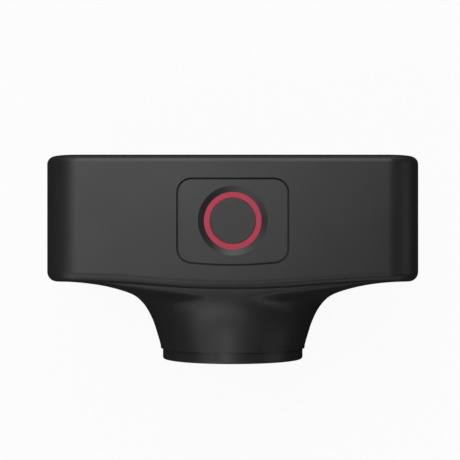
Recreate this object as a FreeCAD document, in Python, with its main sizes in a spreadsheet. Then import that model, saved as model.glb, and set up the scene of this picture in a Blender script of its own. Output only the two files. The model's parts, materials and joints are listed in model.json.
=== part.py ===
import FreeCAD, Part
import math
import os
import re

import Sketcher
from FreeCAD import Placement, Rotation, Vector

# Streaming webcam, in millimetres. X runs across the body, -Y is where the lens looks, +Z is up.
# The origin is on the surface that the camera stands on, under the middle of its outer box.

SIZES = [
    # Outer form
    ("body_width", 96),
    ("body_height", 53.5),
    ("total_depth", 53.65),
    ("body_depth", 32.25),
    ("front_swell", 1.9),
    ("swell_reach", 42),
    ("corner_radius", 8.9),
    ("shoulder_radius", 2.5),
    ("rear_edge_radius", 2),
    ("wall", 2.2),
    ("foot_proud", 0.5),
    ("seam_gap", 0.1),
    # Front cover
    ("cover_rim", 0.25),
    ("cover_recess", 1.2),
    ("cover_wall", 2),
    ("cover_lip", 4.4),
    ("bell_ledge", 0.4),
    ("bell_control_half_width", 23.45),
    ("bell_control_depth", 0.85),
    ("bell_weight", 1.6),
    ("bell_squareness", 10),
    ("bell_height_fade", 0.34),
    ("bell_square_fade", 0.13),
    ("neck_radius", 19.7),
    ("post_radius", 2.8),
    ("post_side_clearance", 1.55),
    ("post_rise_clearance", 0.8),
    ("housing_screw_radius", 1.1),
    ("housing_screw_length", 9),
    ("screw_head_radius", 2),
    ("screw_head_height", 1.1),
    ("screw_head_sink", 0.2),
    ("screw_drive_radius", 0.9),
    ("screw_drive_depth", 0.5),
    # Lens end
    ("ring_radius", 19.15),
    ("ring_length", 2.95),
    ("ring_edge_radius", 0.6),
    ("ring_spigot_length", 5),
    ("window_radius", 16.4),
    ("window_thickness", 1.5),
    ("window_recess", 0.5),
    ("window_lip", 1.2),
    ("window_bevel", 0.25),
    ("baffle_clearance", 2.85),
    ("baffle_wall", 1.2),
    ("baffle_play", 0.3),
    ("barrel_radius", 8),
    ("barrel_length", 15),
    ("barrel_wall", 1),
    ("lens_edge", 1.2),
    ("lens_play", 0.03),
    ("front_seat_depth", 3.7),
    ("rear_seat_depth", 3.2),
    ("front_lens_thickness", 3.4),
    ("front_lens_curve", 11),
    ("front_lens_hollow", 9),
    ("middle_lens_thickness", 2.6),
    ("middle_lens_curve", 16),
    ("rear_lens_thickness", 2.8),
    ("rear_lens_curve", 14),
    ("holder_wall", 1.6),
    ("holder_length", 8),
    ("holder_base", 26),
    ("holder_base_thickness", 3),
    ("filter_side", 11),
    ("filter_thickness", 0.6),
    ("sensor_width", 10),
    ("sensor_height", 8),
    ("sensor_thickness", 1.2),
    ("sensor_room_depth", 2.4),
    ("connector_length", 10),
    ("connector_width", 2.5),
    ("board_thickness", 1.2),
    ("sensor_board_side", 28),
    ("sensor_screw_spread", 11),
    ("standoff_length", 4),
    ("small_screw_radius", 0.8),
    ("small_head_radius", 1.5),
    ("small_head_height", 1),
    ("small_screw_grip", 4),
    ("io_screw_grip", 3),
    # Control panel on the top
    ("panel_width", 27.4),
    ("panel_length", 21.25),
    ("panel_inset", 6.45),
    ("panel_corner_radius", 3.3),
    ("panel_bow", 0.95),
    ("panel_gap", 0.5),
    ("panel_thickness", 3.5),
    ("panel_flange", 1.5),
    ("panel_flange_thickness", 1),
    ("button_inset", 16.8),
    ("recess_radius", 8.8),
    ("recess_depth", 0.7),
    ("light_outer_radius", 7.3),
    ("light_inner_radius", 5.87),
    ("light_fit", 0.03),
    ("light_flange", 1),
    ("light_flange_thickness", 1.4),
    ("button_play", 0.12),
    ("button_travel", 0.5),
    ("button_flange", 0.9),
    ("button_flange_thickness", 1),
    ("panel_post_drop", 4.9),
    ("panel_post_spread", 11.2),
    ("panel_post_reach", 7.9),
    ("panel_post_radius", 1.7),
    ("switch_side", 4.4),
    ("switch_height", 0.9),
    ("switch_stem", 0.4),
    ("switch_stem_radius", 1),
    ("led_count", 8),
    ("led_length", 1.6),
    ("led_width", 0.8),
    ("led_height", 0.7),
    ("flex_thickness", 0.3),
    ("flex_width", 8),
    ("flex_reach", 4),
    ("flex_grip", 5),
    ("flex_landing", 2),
    # Main electronics
    ("main_board_clearance", 0.8),
    ("main_board_drop", 11),
    ("main_post_clearance", 7.5),
    ("main_post_side", 3),
    ("main_post_inset", 4.5),
    ("main_post_radius", 2.6),
    ("chip_side", 14),
    ("chip_height", 1.4),
    ("pad_thickness", 0.8),
    ("spreader_width", 46),
    ("spreader_height", 26),
    ("spreader_thickness", 1.5),
    ("spreader_foot_radius", 2.2),
    ("memory_spread", 14),
    ("memory_length", 11),
    ("memory_width", 9),
    ("memory_height", 1),
    ("wireless_place", 22),
    ("wireless_width", 15),
    ("wireless_height", 18),
    ("wireless_thickness", 2.2),
    ("antenna_margin", 1),
    ("antenna_height", 10),
    ("battery_width", 50),
    ("battery_clearance", 0.3),
    ("battery_thickness", 9),
    ("battery_rise", 16.5),
    ("battery_room", 6),
    ("tape_thickness", 0.5),
    # Ports low on the back
    ("io_board_width", 60),
    ("io_board_depth", 11),
    ("io_board_rise", 7),
    ("io_post_spread", 26),
    ("usb_width", 8.94),
    ("usb_height", 3.26),
    ("usb_depth", 7.4),
    ("usb_corner", 1.4),
    ("usb_metal", 0.3),
    ("usb_back", 1),
    ("usb_tongue_setback", 1),
    ("usb_tongue_width", 6.7),
    ("usb_tongue_height", 0.7),
    ("port_clearance", 0.3),
    ("port_setback", 0.5),
    ("card_slot_centre", 18),
    ("card_slot_width", 12),
    ("card_slot_height", 1.9),
    ("card_slot_depth", 10),
    ("card_mouth_height", 1.3),
    ("power_centre", 17),
    ("power_rise", 12.2),
    ("power_radius", 2.8),
    ("power_flange", 0.9),
    ("power_flange_thickness", 1),
    ("power_stem", 0.5),
    # Base
    ("tripod_place", 8),
    ("thread_radius", 3.175),
    ("thread_length", 6),
    ("nut_radius", 5),
    ("nut_head_radius", 6),
    ("nut_head_thickness", 1),
    ("nut_boss_wall", 1.4),
    ("foot_place", 9.5),
    ("foot_length", 62),
    ("foot_width", 22),
    ("foot_corner_radius", 6),
    ("foot_thickness", 1.3),
    ("foot_hole_radius", 7),
    # Microphones
    ("microphone_spread", 30),
    ("microphone_width", 4),
    ("microphone_height", 3),
    ("microphone_depth", 1.1),
    ("microphone_hole_radius", 0.6),
    ("microphone_boss_radius", 3),
    ("microphone_gasket", 0.6),
    ("microphone_board_width", 8),
]

# Places that several pieces share, worked out from the sizes above.
PLACES = {
    # Planes of the outer form
    "housing_bottom": "foot_proud",
    "housing_top": "foot_proud + body_height",
    "lens_height": "foot_proud + body_height / 2",
    "rear_plane": "total_depth / 2",
    "front_plane": "-total_depth / 2",
    "face_plane": "rear_plane - body_depth",
    "seat_plane": "face_plane + cover_recess",
    "neck_plane": "front_plane + ring_length",
    # The cavity inside the housing
    "cavity_rear": "rear_plane - wall",
    "cavity_front": "seat_plane + wall",
    "cavity_half_width": "body_width / 2 - wall",
    "cavity_half_height": "body_height / 2 - wall",
    "cavity_corner": "corner_radius - wall",
    "cavity_floor": "housing_bottom + wall",
    # The outline in which the front cover sits
    "cover_half_width": "body_width / 2 - shoulder_radius - cover_rim",
    "cover_half_height": "body_height / 2 - shoulder_radius - cover_rim",
    "cover_corner": "corner_radius - shoulder_radius - cover_rim",
    "post_spread": "cover_half_width - cover_lip - post_radius - post_side_clearance",
    "post_rise": "cover_half_height - cover_lip - post_radius - post_rise_clearance",
    # Lens end, front to rear
    "window_front": "front_plane + window_recess",
    "window_rear": "window_front + window_thickness",
    "window_bore": "window_radius - window_lip",
    "spigot_radius": "neck_radius - cover_wall - seam_gap",
    "spigot_rear": "neck_plane + ring_spigot_length",
    "holder_front": "holder_wall_plane - holder_length",
    "holder_wall_plane": "sensor_plane - holder_base_thickness",
    "barrel_front": "holder_wall_plane - barrel_length",
    "barrel_bore": "barrel_radius - barrel_wall",
    "filter_seat": "holder_base_thickness - sensor_room_depth",
    "sensor_plane": "main_plane - standoff_length - board_thickness",
    # Control panel, top to bottom
    "button_place": "rear_plane - button_inset",
    "ring_floor": "housing_top - recess_depth",
    "panel_under": "housing_top - panel_thickness",
    "panel_gasket_thickness": "panel_thickness - wall - panel_flange_thickness",
    "light_under": "panel_under - light_flange_thickness",
    "button_flange_top": "light_under - button_play",
    "button_board_top": "panel_under - panel_post_drop",
    # Electronics
    "battery_front": "cavity_rear - tape_thickness - battery_thickness",
    "battery_top": "button_board_top - board_thickness - small_head_height"
                   " - battery_clearance",
    "battery_height": "battery_top - battery_rise",
    "main_rear": "battery_front - battery_room",
    "main_plane": "main_rear - board_thickness",
    "main_board_top": "housing_top - main_board_drop",
    "main_board_height": "main_board_top - io_board_top - main_board_clearance",
    "main_board_middle": "main_board_top - main_board_height / 2",
    "main_post_spread": "post_spread - main_post_clearance",
    "main_post_reach": "main_board_height / 2 - main_post_inset",
    "main_board_width": "2 * (main_post_spread + main_post_side)",
    "io_board_top": "io_board_rise + board_thickness",
    "io_post_place": "cavity_rear - seam_gap - io_board_depth / 2",
    "io_board_front": "cavity_rear - seam_gap - io_board_depth",
}

doc = FreeCAD.newDocument("streaming_webcam")
sheet = doc.addObject("Spreadsheet::Sheet", "Sizes")
for row, (alias, number) in enumerate(SIZES, start=1):
    sheet.set(f"A{row}", alias)
    sheet.set(f"B{row}", str(number))
    sheet.setAlias(f"B{row}", alias)
doc.recompute()

SIZE_NAMES = {alias for alias, number in SIZES}
NAME = re.compile(r"[a-z]+(?:_[a-z]+)*")
pieces = []


def formula(text):
    """Write a formula of size and place names as one that reads the sheet."""
    def spell_out(match):
        name = match.group(0)
        if name in PLACES:
            return "(" + formula(PLACES[name]) + ")"
        return "Sizes." + name if name in SIZE_NAMES else name
    return NAME.sub(spell_out, text)


def value(text):
    """The number that a formula gives now."""
    return float(sheet.evalExpression(formula(text)))


def bind(thing, name, text):
    """Tie a property to a formula. A plain zero is what it has already."""
    if text != "0":
        thing.setExpression(name, formula(text))


def piece(thing, label):
    """Name a finished sub-part, which gets a file of its own."""
    thing.Label = label
    pieces.append(thing)
    return thing


def bind_place(thing, place):
    for letter, text in zip("xyz", place):
        bind(thing, "Placement.Base." + letter, text)


# Primitives: every argument is a formula.

def block(name, low, size):
    """A box from its low corner."""
    box = doc.addObject("Part::Box", name)
    for side, text in zip(("Length", "Width", "Height"), size):
        bind(box, side, text)
    bind_place(box, low)
    return box


def centred_block(name, middle, size):
    low = [f"{place} - ({side}) / 2" for place, side in zip(middle, size)]
    return block(name, low, size)


TURNS = {
    "x": Rotation(Vector(0, 1, 0), 90),
    "y": Rotation(Vector(1, 0, 0), -90),
    "z": Rotation(),
}


def rod(name, start, axis, radius, length):
    """A cylinder that runs from its start along +X, +Y or +Z."""
    cylinder = doc.addObject("Part::Cylinder", name)
    bind(cylinder, "Radius", radius)
    bind(cylinder, "Height", length)
    cylinder.Placement = Placement(Vector(), TURNS[axis])
    bind_place(cylinder, start)
    return cylinder


def ball(name, centre, radius):
    sphere = doc.addObject("Part::Sphere", name)
    bind(sphere, "Radius", radius)
    bind_place(sphere, centre)
    return sphere


def fused(name, things):
    joined = doc.addObject("Part::MultiFuse", name)
    joined.Shapes = things
    return joined


def cut(name, base, tools):
    result = doc.addObject("Part::Cut", name)
    result.Base = base
    result.Tool = tools[0] if len(tools) == 1 else fused(name + "_tools", tools)
    return result


def common(name, things):
    result = doc.addObject("Part::MultiCommon", name)
    result.Shapes = things
    return result


def group(name, things):
    """Equal solids that share one node."""
    result = doc.addObject("Part::Compound", name)
    result.Links = things
    return result


# Sketches and the features made from them.

def new_body(name):
    return doc.addObject("PartDesign::Body", name)


def new_sketch(body, role, offset, name):
    """A sketch on one of the body's own planes, moved along that plane's normal."""
    plane = next(f for f in body.Origin.OriginFeatures if f.Role == role)
    sketch = body.newObject("Sketcher::SketchObject", name)
    sketch.AttachmentSupport = (plane, [""])
    sketch.MapMode = "FlatFace"
    bind(sketch, "AttachmentOffset.Base.z", offset)
    return sketch


def fix_point(sketch, edge, end, across, up):
    """Hold a point of a sketch at two formulas."""
    for kind, text, axis in (("DistanceX", across, -2), ("DistanceY", up, -1)):
        if text == "0":
            sketch.addConstraint(Sketcher.Constraint("PointOnObject", edge, end, axis))
            continue
        index = sketch.addConstraint(Sketcher.Constraint(kind, -1, 1, edge, end, value(text)))
        bind(sketch, f"Constraints[{index}]", text)


def fix_radius(sketch, edge, text):
    index = sketch.addConstraint(Sketcher.Constraint("Radius", edge, value(text)))
    bind(sketch, f"Constraints[{index}]", text)


def add_circle(sketch, across, up, radius):
    centre = Vector(value(across), value(up), 0)
    edge = sketch.addGeometry(Part.Circle(centre, Vector(0, 0, 1), value(radius)), False)
    fix_radius(sketch, edge, radius)
    fix_point(sketch, edge, 3, across, up)


def add_polygon(sketch, corners):
    """A closed outline of straight lines through corners given as formulas."""
    places = [Vector(value(across), value(up), 0) for across, up in corners]
    count = len(corners)
    for index in range(count):
        line = Part.LineSegment(places[index], places[(index + 1) % count])
        sketch.addGeometry(line, False)
    for index in range(count):
        following = (index + 1) % count
        sketch.addConstraint(Sketcher.Constraint("Coincident", index, 2, following, 1))
    for index, (across, up) in enumerate(corners):
        fix_point(sketch, index, 1, across, up)


def add_rounded_rectangle(sketch, across, up, half_width, half_height, radius):
    """Four lines and four equal corner arcs, tangent all round, about a centre."""
    x, y, a, b, r = (value(text) for text in (across, up, half_width, half_height, radius))
    first = sketch.GeometryCount
    quarter = math.pi / 2
    corners = [(1, -1, 3), (1, 1, 0), (-1, 1, 1), (-1, -1, 2)]
    ends = []
    for side_x, side_y, turn in corners:
        centre = Vector(x + side_x * (a - r), y + side_y * (b - r), 0)
        circle = Part.Circle(centre, Vector(0, 0, 1), r)
        arc = Part.ArcOfCircle(circle, turn * quarter, (turn + 1) * quarter)
        sketch.addGeometry(arc, False)
        ends.append((arc.StartPoint, arc.EndPoint))
    for index in range(4):
        line = Part.LineSegment(ends[index][1], ends[(index + 1) % 4][0])
        sketch.addGeometry(line, False)
    for index in range(4):
        line = first + 4 + index
        following = first + (index + 1) % 4
        sketch.addConstraint(Sketcher.Constraint("Tangent", first + index, 2, line, 1))
        sketch.addConstraint(Sketcher.Constraint("Tangent", line, 2, following, 1))
    right, top, left, bottom = (first + 4 + index for index in range(4))
    for line in (right, left):
        sketch.addConstraint(Sketcher.Constraint("Vertical", line))
    for line in (top, bottom):
        sketch.addConstraint(Sketcher.Constraint("Horizontal", line))
    for index in range(1, 4):
        sketch.addConstraint(Sketcher.Constraint("Equal", first, first + index))
    fix_radius(sketch, first, radius)
    fix_coordinate(sketch, "DistanceX", right, f"{across} + {half_width}")
    fix_coordinate(sketch, "DistanceY", top, f"{up} + {half_height}")
    fix_coordinate(sketch, "DistanceX", left, f"{across} - ({half_width})")
    fix_coordinate(sketch, "DistanceY", bottom, f"{up} - ({half_height})")


def fix_coordinate(sketch, kind, edge, text):
    index = sketch.addConstraint(Sketcher.Constraint(kind, -1, 1, edge, 1, value(text)))
    bind(sketch, f"Constraints[{index}]", text)


def pad(body, sketch, length, name):
    feature = body.newObject("PartDesign::Pad", name)
    feature.Profile = sketch
    bind(feature, "Length", length)
    return feature


def pocket(body, sketch, name, length=None, along_normal=False):
    """Cut against the sketch's normal, or along it, to a length or right through."""
    feature = body.newObject("PartDesign::Pocket", name)
    feature.Profile = sketch
    feature.Reversed = along_normal
    if length is None:
        feature.Type = "ThroughAll"
    else:
        bind(feature, "Length", length)
    doc.recompute()
    return feature


def fillet(body, base, edges, radius, name):
    feature = body.newObject("PartDesign::Fillet", name)
    feature.Base = (base, edges)
    bind(feature, "Radius", radius)
    doc.recompute()
    return feature


def edges_where(feature, test):
    """The names of the edges whose bounding box passes a test."""
    numbered = enumerate(feature.Shape.Edges, start=1)
    return [f"Edge{number}" for number, edge in numbered if test(edge.BoundBox)]


def across_depth(text):
    """The offset of an XZ sketch, whose normal is -Y, for a place along Y."""
    return f"-({text})"


def turned(name, role, outline, place):
    """A solid turned about the sketch's upright axis, from (radius, height) corners."""
    body = new_body(name)
    sketch = new_sketch(body, role, "0", name + "_outline")
    add_polygon(sketch, outline)
    feature = body.newObject("PartDesign::Revolution", name + "_turned")
    feature.Profile = sketch
    feature.ReferenceAxis = (sketch, ["V_Axis"])
    feature.Angle = 360
    bind_place(body, place)
    return body, feature


LENS_AXIS = ("0", "0", "lens_height")
BUTTON_AXIS = ("0", "button_place", "0")


# The front edge in plan: it swells forward in the middle, on one convex and two concave arcs.

SWELL_ARC = "(swell_reach * swell_reach + front_swell * front_swell) / (4 * front_swell)"


def add_swell_outline(sketch):
    """The space in front of the curved front face, out past the sides of the housing."""
    reach, swell, face = value("swell_reach"), value("front_swell"), value("face_plane")
    radius = value(SWELL_ARC)
    side, front = value("body_width / 2 + wall"), face - 2 * swell
    lean = math.acos(reach / 2 / radius)
    middle = Vector(0, face - swell + radius, 0)
    sketch.addGeometry(Part.LineSegment(Vector(-side, face, 0), Vector(-reach, face, 0)), False)
    arcs = [
        (Vector(-reach, face - radius, 0), lean, math.pi / 2),
        (middle, math.pi + lean, 2 * math.pi - lean),
        (Vector(reach, face - radius, 0), math.pi / 2, math.pi - lean),
    ]
    for centre, start, stop in arcs:
        circle = Part.Circle(centre, Vector(0, 0, 1), radius)
        sketch.addGeometry(Part.ArcOfCircle(circle, start, stop), False)
    corners = [(reach, face), (side, face), (side, front), (-side, front), (-side, face)]
    for (x, y), (next_x, next_y) in zip(corners, corners[1:]):
        sketch.addGeometry(Part.LineSegment(Vector(x, y, 0), Vector(next_x, next_y, 0)), False)
    joints = [(0, 2, 1, 2), (1, 1, 2, 1), (2, 2, 3, 2), (3, 1, 4, 1),
              (4, 2, 5, 1), (5, 2, 6, 1), (6, 2, 7, 1), (7, 2, 0, 1)]
    for edge, end, other, other_end in joints:
        sketch.addConstraint(Sketcher.Constraint("Coincident", edge, end, other, other_end))
    for edge in (1, 2, 3):
        fix_radius(sketch, edge, SWELL_ARC)
    fix_point(sketch, 0, 2, "-swell_reach", "face_plane")
    fix_point(sketch, 2, 1, "-swell_reach / 2", "face_plane - front_swell / 2")
    fix_point(sketch, 2, 2, "swell_reach / 2", "face_plane - front_swell / 2")
    fix_point(sketch, 4, 1, "swell_reach", "face_plane")
    fix_point(sketch, 5, 1, "body_width / 2 + wall", "face_plane")
    fix_point(sketch, 6, 1, "body_width / 2 + wall", "face_plane - 2 * front_swell")
    fix_point(sketch, 7, 1, "-(body_width / 2 + wall)", "face_plane - 2 * front_swell")
    fix_point(sketch, 0, 1, "-(body_width / 2 + wall)", "face_plane")


# The outline of the control panel: straight at the back and bowed at the front.

PANEL_ARC = "(panel_width * panel_width / 4 + panel_bow * panel_bow) / (2 * panel_bow)"


def add_panel_outline(sketch, growth):
    """The panel's outline, grown all round by a formula."""
    a = value(f"panel_width / 2 + {growth}")
    rear = value(f"rear_plane - panel_inset + {growth}")
    front = value(f"rear_plane - panel_inset - panel_length - ({growth})")
    r = value(f"panel_corner_radius + {growth}")
    bow = value(f"{PANEL_ARC} + {growth}")
    bow_centre = Vector(0, front + bow, 0)
    low = bow_centre.y - math.sqrt((bow - r) ** 2 - (a - r) ** 2)
    lean = math.atan2(low - bow_centre.y, a - r)
    quarter = math.pi / 2
    arcs = [
        (Vector(a - r, low, 0), r, lean, 0),
        (Vector(a - r, rear - r, 0), r, 0, quarter),
        (Vector(r - a, rear - r, 0), r, quarter, 2 * quarter),
        (Vector(r - a, low, 0), r, 2 * quarter, 2 * quarter - lean),
        (bow_centre, bow, -2 * quarter - lean, lean),
    ]
    ends = []
    for centre, radius, start, stop in arcs:
        arc = Part.ArcOfCircle(Part.Circle(centre, Vector(0, 0, 1), radius), start, stop)
        sketch.addGeometry(arc, False)
        ends.append((arc.StartPoint, arc.EndPoint))
    for first, second in ((0, 1), (1, 2), (2, 3)):
        sketch.addGeometry(Part.LineSegment(ends[first][1], ends[second][0]), False)
    joints = [(0, 5), (5, 1), (1, 6), (6, 2), (2, 7), (7, 3), (3, 4), (4, 0)]
    for edge, other in joints:
        sketch.addConstraint(Sketcher.Constraint("Tangent", edge, 2, other, 1))
    for line in (5, 7):
        sketch.addConstraint(Sketcher.Constraint("Vertical", line))
    sketch.addConstraint(Sketcher.Constraint("Horizontal", 6))
    for edge in (1, 2, 3):
        sketch.addConstraint(Sketcher.Constraint("Equal", 0, edge))
    fix_radius(sketch, 0, f"panel_corner_radius + {growth}")
    fix_radius(sketch, 4, f"{PANEL_ARC} + {growth}")
    sketch.addConstraint(Sketcher.Constraint("PointOnObject", 4, 3, -2))
    fix_coordinate(sketch, "DistanceX", 5, f"panel_width / 2 + {growth}")
    fix_coordinate(sketch, "DistanceX", 7, f"-(panel_width / 2 + {growth})")
    fix_coordinate(sketch, "DistanceY", 6, f"rear_plane - panel_inset + {growth}")
    height = f"rear_plane - panel_inset - panel_length + {PANEL_ARC}"
    index = sketch.addConstraint(Sketcher.Constraint("DistanceY", -1, 1, 4, 3, value(height)))
    bind(sketch, f"Constraints[{index}]", height)


# Main housing: a tub open towards the front cover, closed at the back.

def circles(sketch, places, radius):
    for across, up in places:
        add_circle(sketch, across, up, radius)


def four(middle_across, middle_up, spread, reach):
    """Four places, mirrored about a middle."""
    return [(f"{middle_across} {side_x} {spread}", f"{middle_up} {side_y} {reach}")
            for side_x in "+-" for side_y in "+-"]


POSTS = four("0", "lens_height", "post_spread", "post_rise")
MAIN_POSTS = four("0", "main_board_middle", "main_post_spread", "main_post_reach")
PANEL_POSTS = four("0", "button_place", "panel_post_spread", "panel_post_reach")
SENSOR_SCREWS = four("0", "lens_height", "sensor_screw_spread", "sensor_screw_spread")
IO_POSTS = [(f"{side}io_post_spread", "io_post_place") for side in ("", "-")]

housing = new_body("main_housing")

outline = new_sketch(housing, "XZ_Plane", across_depth("rear_plane"), "housing_outline")
add_rounded_rectangle(outline, "0", "lens_height",
                      "body_width / 2", "body_height / 2", "corner_radius")
pad(housing, outline, "rear_plane - face_plane + front_swell", "housing_block")
swell = new_sketch(housing, "XY_Plane", "0", "front_swell_outline")
add_swell_outline(swell)
block_trimmed = pocket(housing, swell, "front_swell_cut", along_normal=True)

side_plane = value("body_width / 2")
front_limit = value("face_plane")
rear_limit = value("rear_plane")


def is_shoulder(box):
    upright = box.ZLength > value("body_height / 2") and abs(box.XMax) < side_plane - 0.1
    return box.YMax < front_limit + 0.01 and not upright


shoulder_edges = edges_where(block_trimmed, is_shoulder)
shoulder = fillet(housing, block_trimmed, shoulder_edges, "shoulder_radius", "front_shoulder")
rear_edges = edges_where(shoulder, lambda box: box.YMin > rear_limit - 0.01)
rounded = fillet(housing, shoulder, rear_edges, "rear_edge_radius", "rear_rounding")

cavity = new_sketch(housing, "XZ_Plane", across_depth("cavity_front"), "cavity_outline")
add_rounded_rectangle(cavity, "0", "lens_height",
                      "cavity_half_width", "cavity_half_height", "cavity_corner")
pocket(housing, cavity, "cavity", "cavity_rear - cavity_front")
seat = new_sketch(housing, "XZ_Plane", across_depth("seat_plane"), "cover_seat_outline")
add_rounded_rectangle(seat, "0", "lens_height",
                      "cover_half_width", "cover_half_height", "cover_corner")
pocket(housing, seat, "cover_seat", along_normal=True)
mouth = new_sketch(housing, "XZ_Plane", across_depth("cavity_front"), "front_mouth_outline")
add_rounded_rectangle(mouth, "0", "lens_height", "cover_half_width - cover_lip",
                      "cover_half_height - cover_lip", "cover_corner")
pocket(housing, mouth, "front_mouth", along_normal=True)

# Panel opening in the top wall
opening = new_sketch(housing, "XY_Plane", "housing_top - 1.5 * wall", "panel_opening_outline")
add_panel_outline(opening, "panel_gap")
pocket(housing, opening, "panel_opening", along_normal=True)
flange_room = new_sketch(housing, "XY_Plane", "panel_under - seam_gap", "flange_room_outline")
add_panel_outline(flange_room, "panel_flange + seam_gap")
pocket(housing, flange_room, "flange_room", "panel_thickness - wall + seam_gap",
       along_normal=True)

# Screw holes in the back wall, with their counterbores
screw_holes = new_sketch(housing, "XZ_Plane", across_depth("rear_plane"), "rear_screw_holes")
circles(screw_holes, POSTS, "housing_screw_radius + seam_gap")
pocket(housing, screw_holes, "rear_screw_bores", "wall + seam_gap", along_normal=True)
counterbores = new_sketch(housing, "XZ_Plane", across_depth("rear_plane"), "rear_counterbores")
circles(counterbores, POSTS, "screw_head_radius + seam_gap")
pocket(housing, counterbores, "rear_screw_seats", "screw_head_height", along_normal=True)

# Ports low on the back
usb_port = new_sketch(housing, "XZ_Plane", across_depth("rear_plane"), "usb_opening")
add_rounded_rectangle(usb_port, "0", "usb_height / 2 + io_board_top",
                      "usb_width / 2 + port_clearance", "usb_height / 2 + port_clearance",
                      "usb_corner + port_clearance")
pocket(housing, usb_port, "usb_cut", "wall + seam_gap", along_normal=True)
card_port = new_sketch(housing, "XZ_Plane", across_depth("rear_plane"), "card_opening")
add_rounded_rectangle(card_port, "card_slot_centre", "io_board_top + card_slot_height / 2",
                      "card_slot_width / 2", "card_mouth_height / 2", "card_mouth_height / 4")
pocket(housing, card_port, "card_cut", "wall + seam_gap", along_normal=True)
power_port = new_sketch(housing, "XZ_Plane", across_depth("rear_plane"), "power_opening")
add_circle(power_port, "-power_centre", "power_rise", "power_radius + button_play")
pocket(housing, power_port, "power_cut", "wall + seam_gap", along_normal=True)

# Posts that carry the main board and the port board
main_posts = new_sketch(housing, "XZ_Plane", across_depth("cavity_rear + wall / 2"), "main_posts")
circles(main_posts, MAIN_POSTS, "main_post_radius")
pad(housing, main_posts, "cavity_rear + wall / 2 - main_rear", "main_post_pad")
main_pilots = new_sketch(housing, "XZ_Plane", across_depth("main_rear"), "main_pilots")
circles(main_pilots, MAIN_POSTS, "small_screw_radius")
pocket(housing, main_pilots, "main_pilot_bores", "small_screw_grip")
io_posts = new_sketch(housing, "XY_Plane", "cavity_floor - wall / 4", "io_posts")
circles(io_posts, IO_POSTS, "main_post_radius")
pad(housing, io_posts, "io_board_rise - cavity_floor + wall / 4", "io_post_pad")
io_pilots = new_sketch(housing, "XY_Plane", "io_board_rise", "io_pilots")
circles(io_pilots, IO_POSTS, "small_screw_radius")
pocket(housing, io_pilots, "io_pilot_bores", "io_screw_grip")

# Boss for the tripod nut, and the shallow recess for the foot pad
nut_boss = new_sketch(housing, "XY_Plane", "housing_bottom + wall / 2", "nut_boss_outline")
add_circle(nut_boss, "0", "tripod_place", "nut_radius + nut_boss_wall")
pad(housing, nut_boss, "thread_length - nut_head_thickness - wall / 2", "nut_boss")
foot_seat = new_sketch(housing, "XY_Plane", "housing_bottom", "foot_seat_outline")
add_rounded_rectangle(foot_seat, "0", "foot_place", "foot_length / 2 + seam_gap",
                      "foot_width / 2 + seam_gap", "foot_corner_radius + seam_gap")
pocket(housing, foot_seat, "foot_seat", "foot_thickness - foot_proud", along_normal=True)
nut_bore = new_sketch(housing, "XY_Plane", "0", "nut_bore_outline")
add_circle(nut_bore, "0", "tripod_place", "nut_radius")
pocket(housing, nut_bore, "nut_bore", "housing_bottom + thread_length", along_normal=True)
piece(housing, "main_housing")


# Front cover: a seat plate let into the housing, and a bell that narrows to the round neck.

BELL_POINTS = 64
BELL_SECTIONS = 16
BELL_CORNER_DRIFT = 0.12


def bell_section(place, half_width, half_height, squareness):
    """One closed section, from nearly a rectangle to a circle as its squareness falls to 2."""
    points = []
    for index in range(BELL_POINTS):
        angle = 2 * math.pi * index / BELL_POINTS
        angle += BELL_CORNER_DRIFT * math.sin(4 * angle)
        across, up = math.cos(angle), math.sin(angle)
        reach = (abs(across) ** squareness + abs(up) ** squareness) ** (-1 / squareness)
        points.append(Vector(half_width * across * reach, place, half_height * up * reach))
    curve = Part.BSplineCurve()
    curve.interpolate(points, PeriodicFlag=True)
    return Part.Wire([curve.toShape()])


def bell(name, inset, lengthened):
    """The bell's space, inset all round by a wall, its small end lengthened past the neck."""
    inset, lengthened = value(inset), value(lengthened)
    start = value("face_plane") + inset
    stop = value("neck_plane") - lengthened
    wide = value("cover_half_width - bell_ledge") - inset
    tall = value("cover_half_height - bell_ledge") - inset
    control = value("bell_control_half_width") - inset, start - value("bell_control_depth")
    weight, squareness = value("bell_weight"), value("bell_squareness")
    height_fade, square_fade = value("bell_height_fade"), value("bell_square_fade")
    neck = value("neck_radius") - inset
    sections = []
    for index in range(BELL_SECTIONS):
        share = index / (BELL_SECTIONS - 1)
        blend = ((1 - share) ** 2, 2 * weight * share * (1 - share), share ** 2)
        width = sum(part * size for part, size in zip(blend, (wide, control[0], neck)))
        place = sum(part * size for part, size in zip(blend, (start, control[1], stop)))
        width, place = width / sum(blend), place / sum(blend)
        passed = (place - start) / (stop - start)
        height = neck + (tall - neck) * math.exp(-(passed / height_fade) ** 2)
        power = 2 + (squareness - 2) * math.exp(-(passed / square_fade) ** 2)
        sections.append(bell_section(place, width, height, power))
    solid = doc.addObject("Part::Feature", name)
    solid.Shape = Part.makeLoft(sections, True)
    bind_place(solid, LENS_AXIS)
    return solid


cover_plate = new_body("cover_plate")
plate_outline = new_sketch(cover_plate, "XZ_Plane", across_depth("seat_plane"), "plate_outline")
add_rounded_rectangle(plate_outline, "0", "lens_height", "cover_half_width - seam_gap",
                      "cover_half_height - seam_gap", "cover_corner - seam_gap")
pad(cover_plate, plate_outline, "cover_recess", "plate_pad")

bell_outside = bell("bell_outside", "0", "0")
bell_inside = bell("bell_inside", "cover_wall", "wall")
cover_shell = cut("cover_shell", fused("cover_form", [cover_plate, bell_outside]), [bell_inside])

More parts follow.
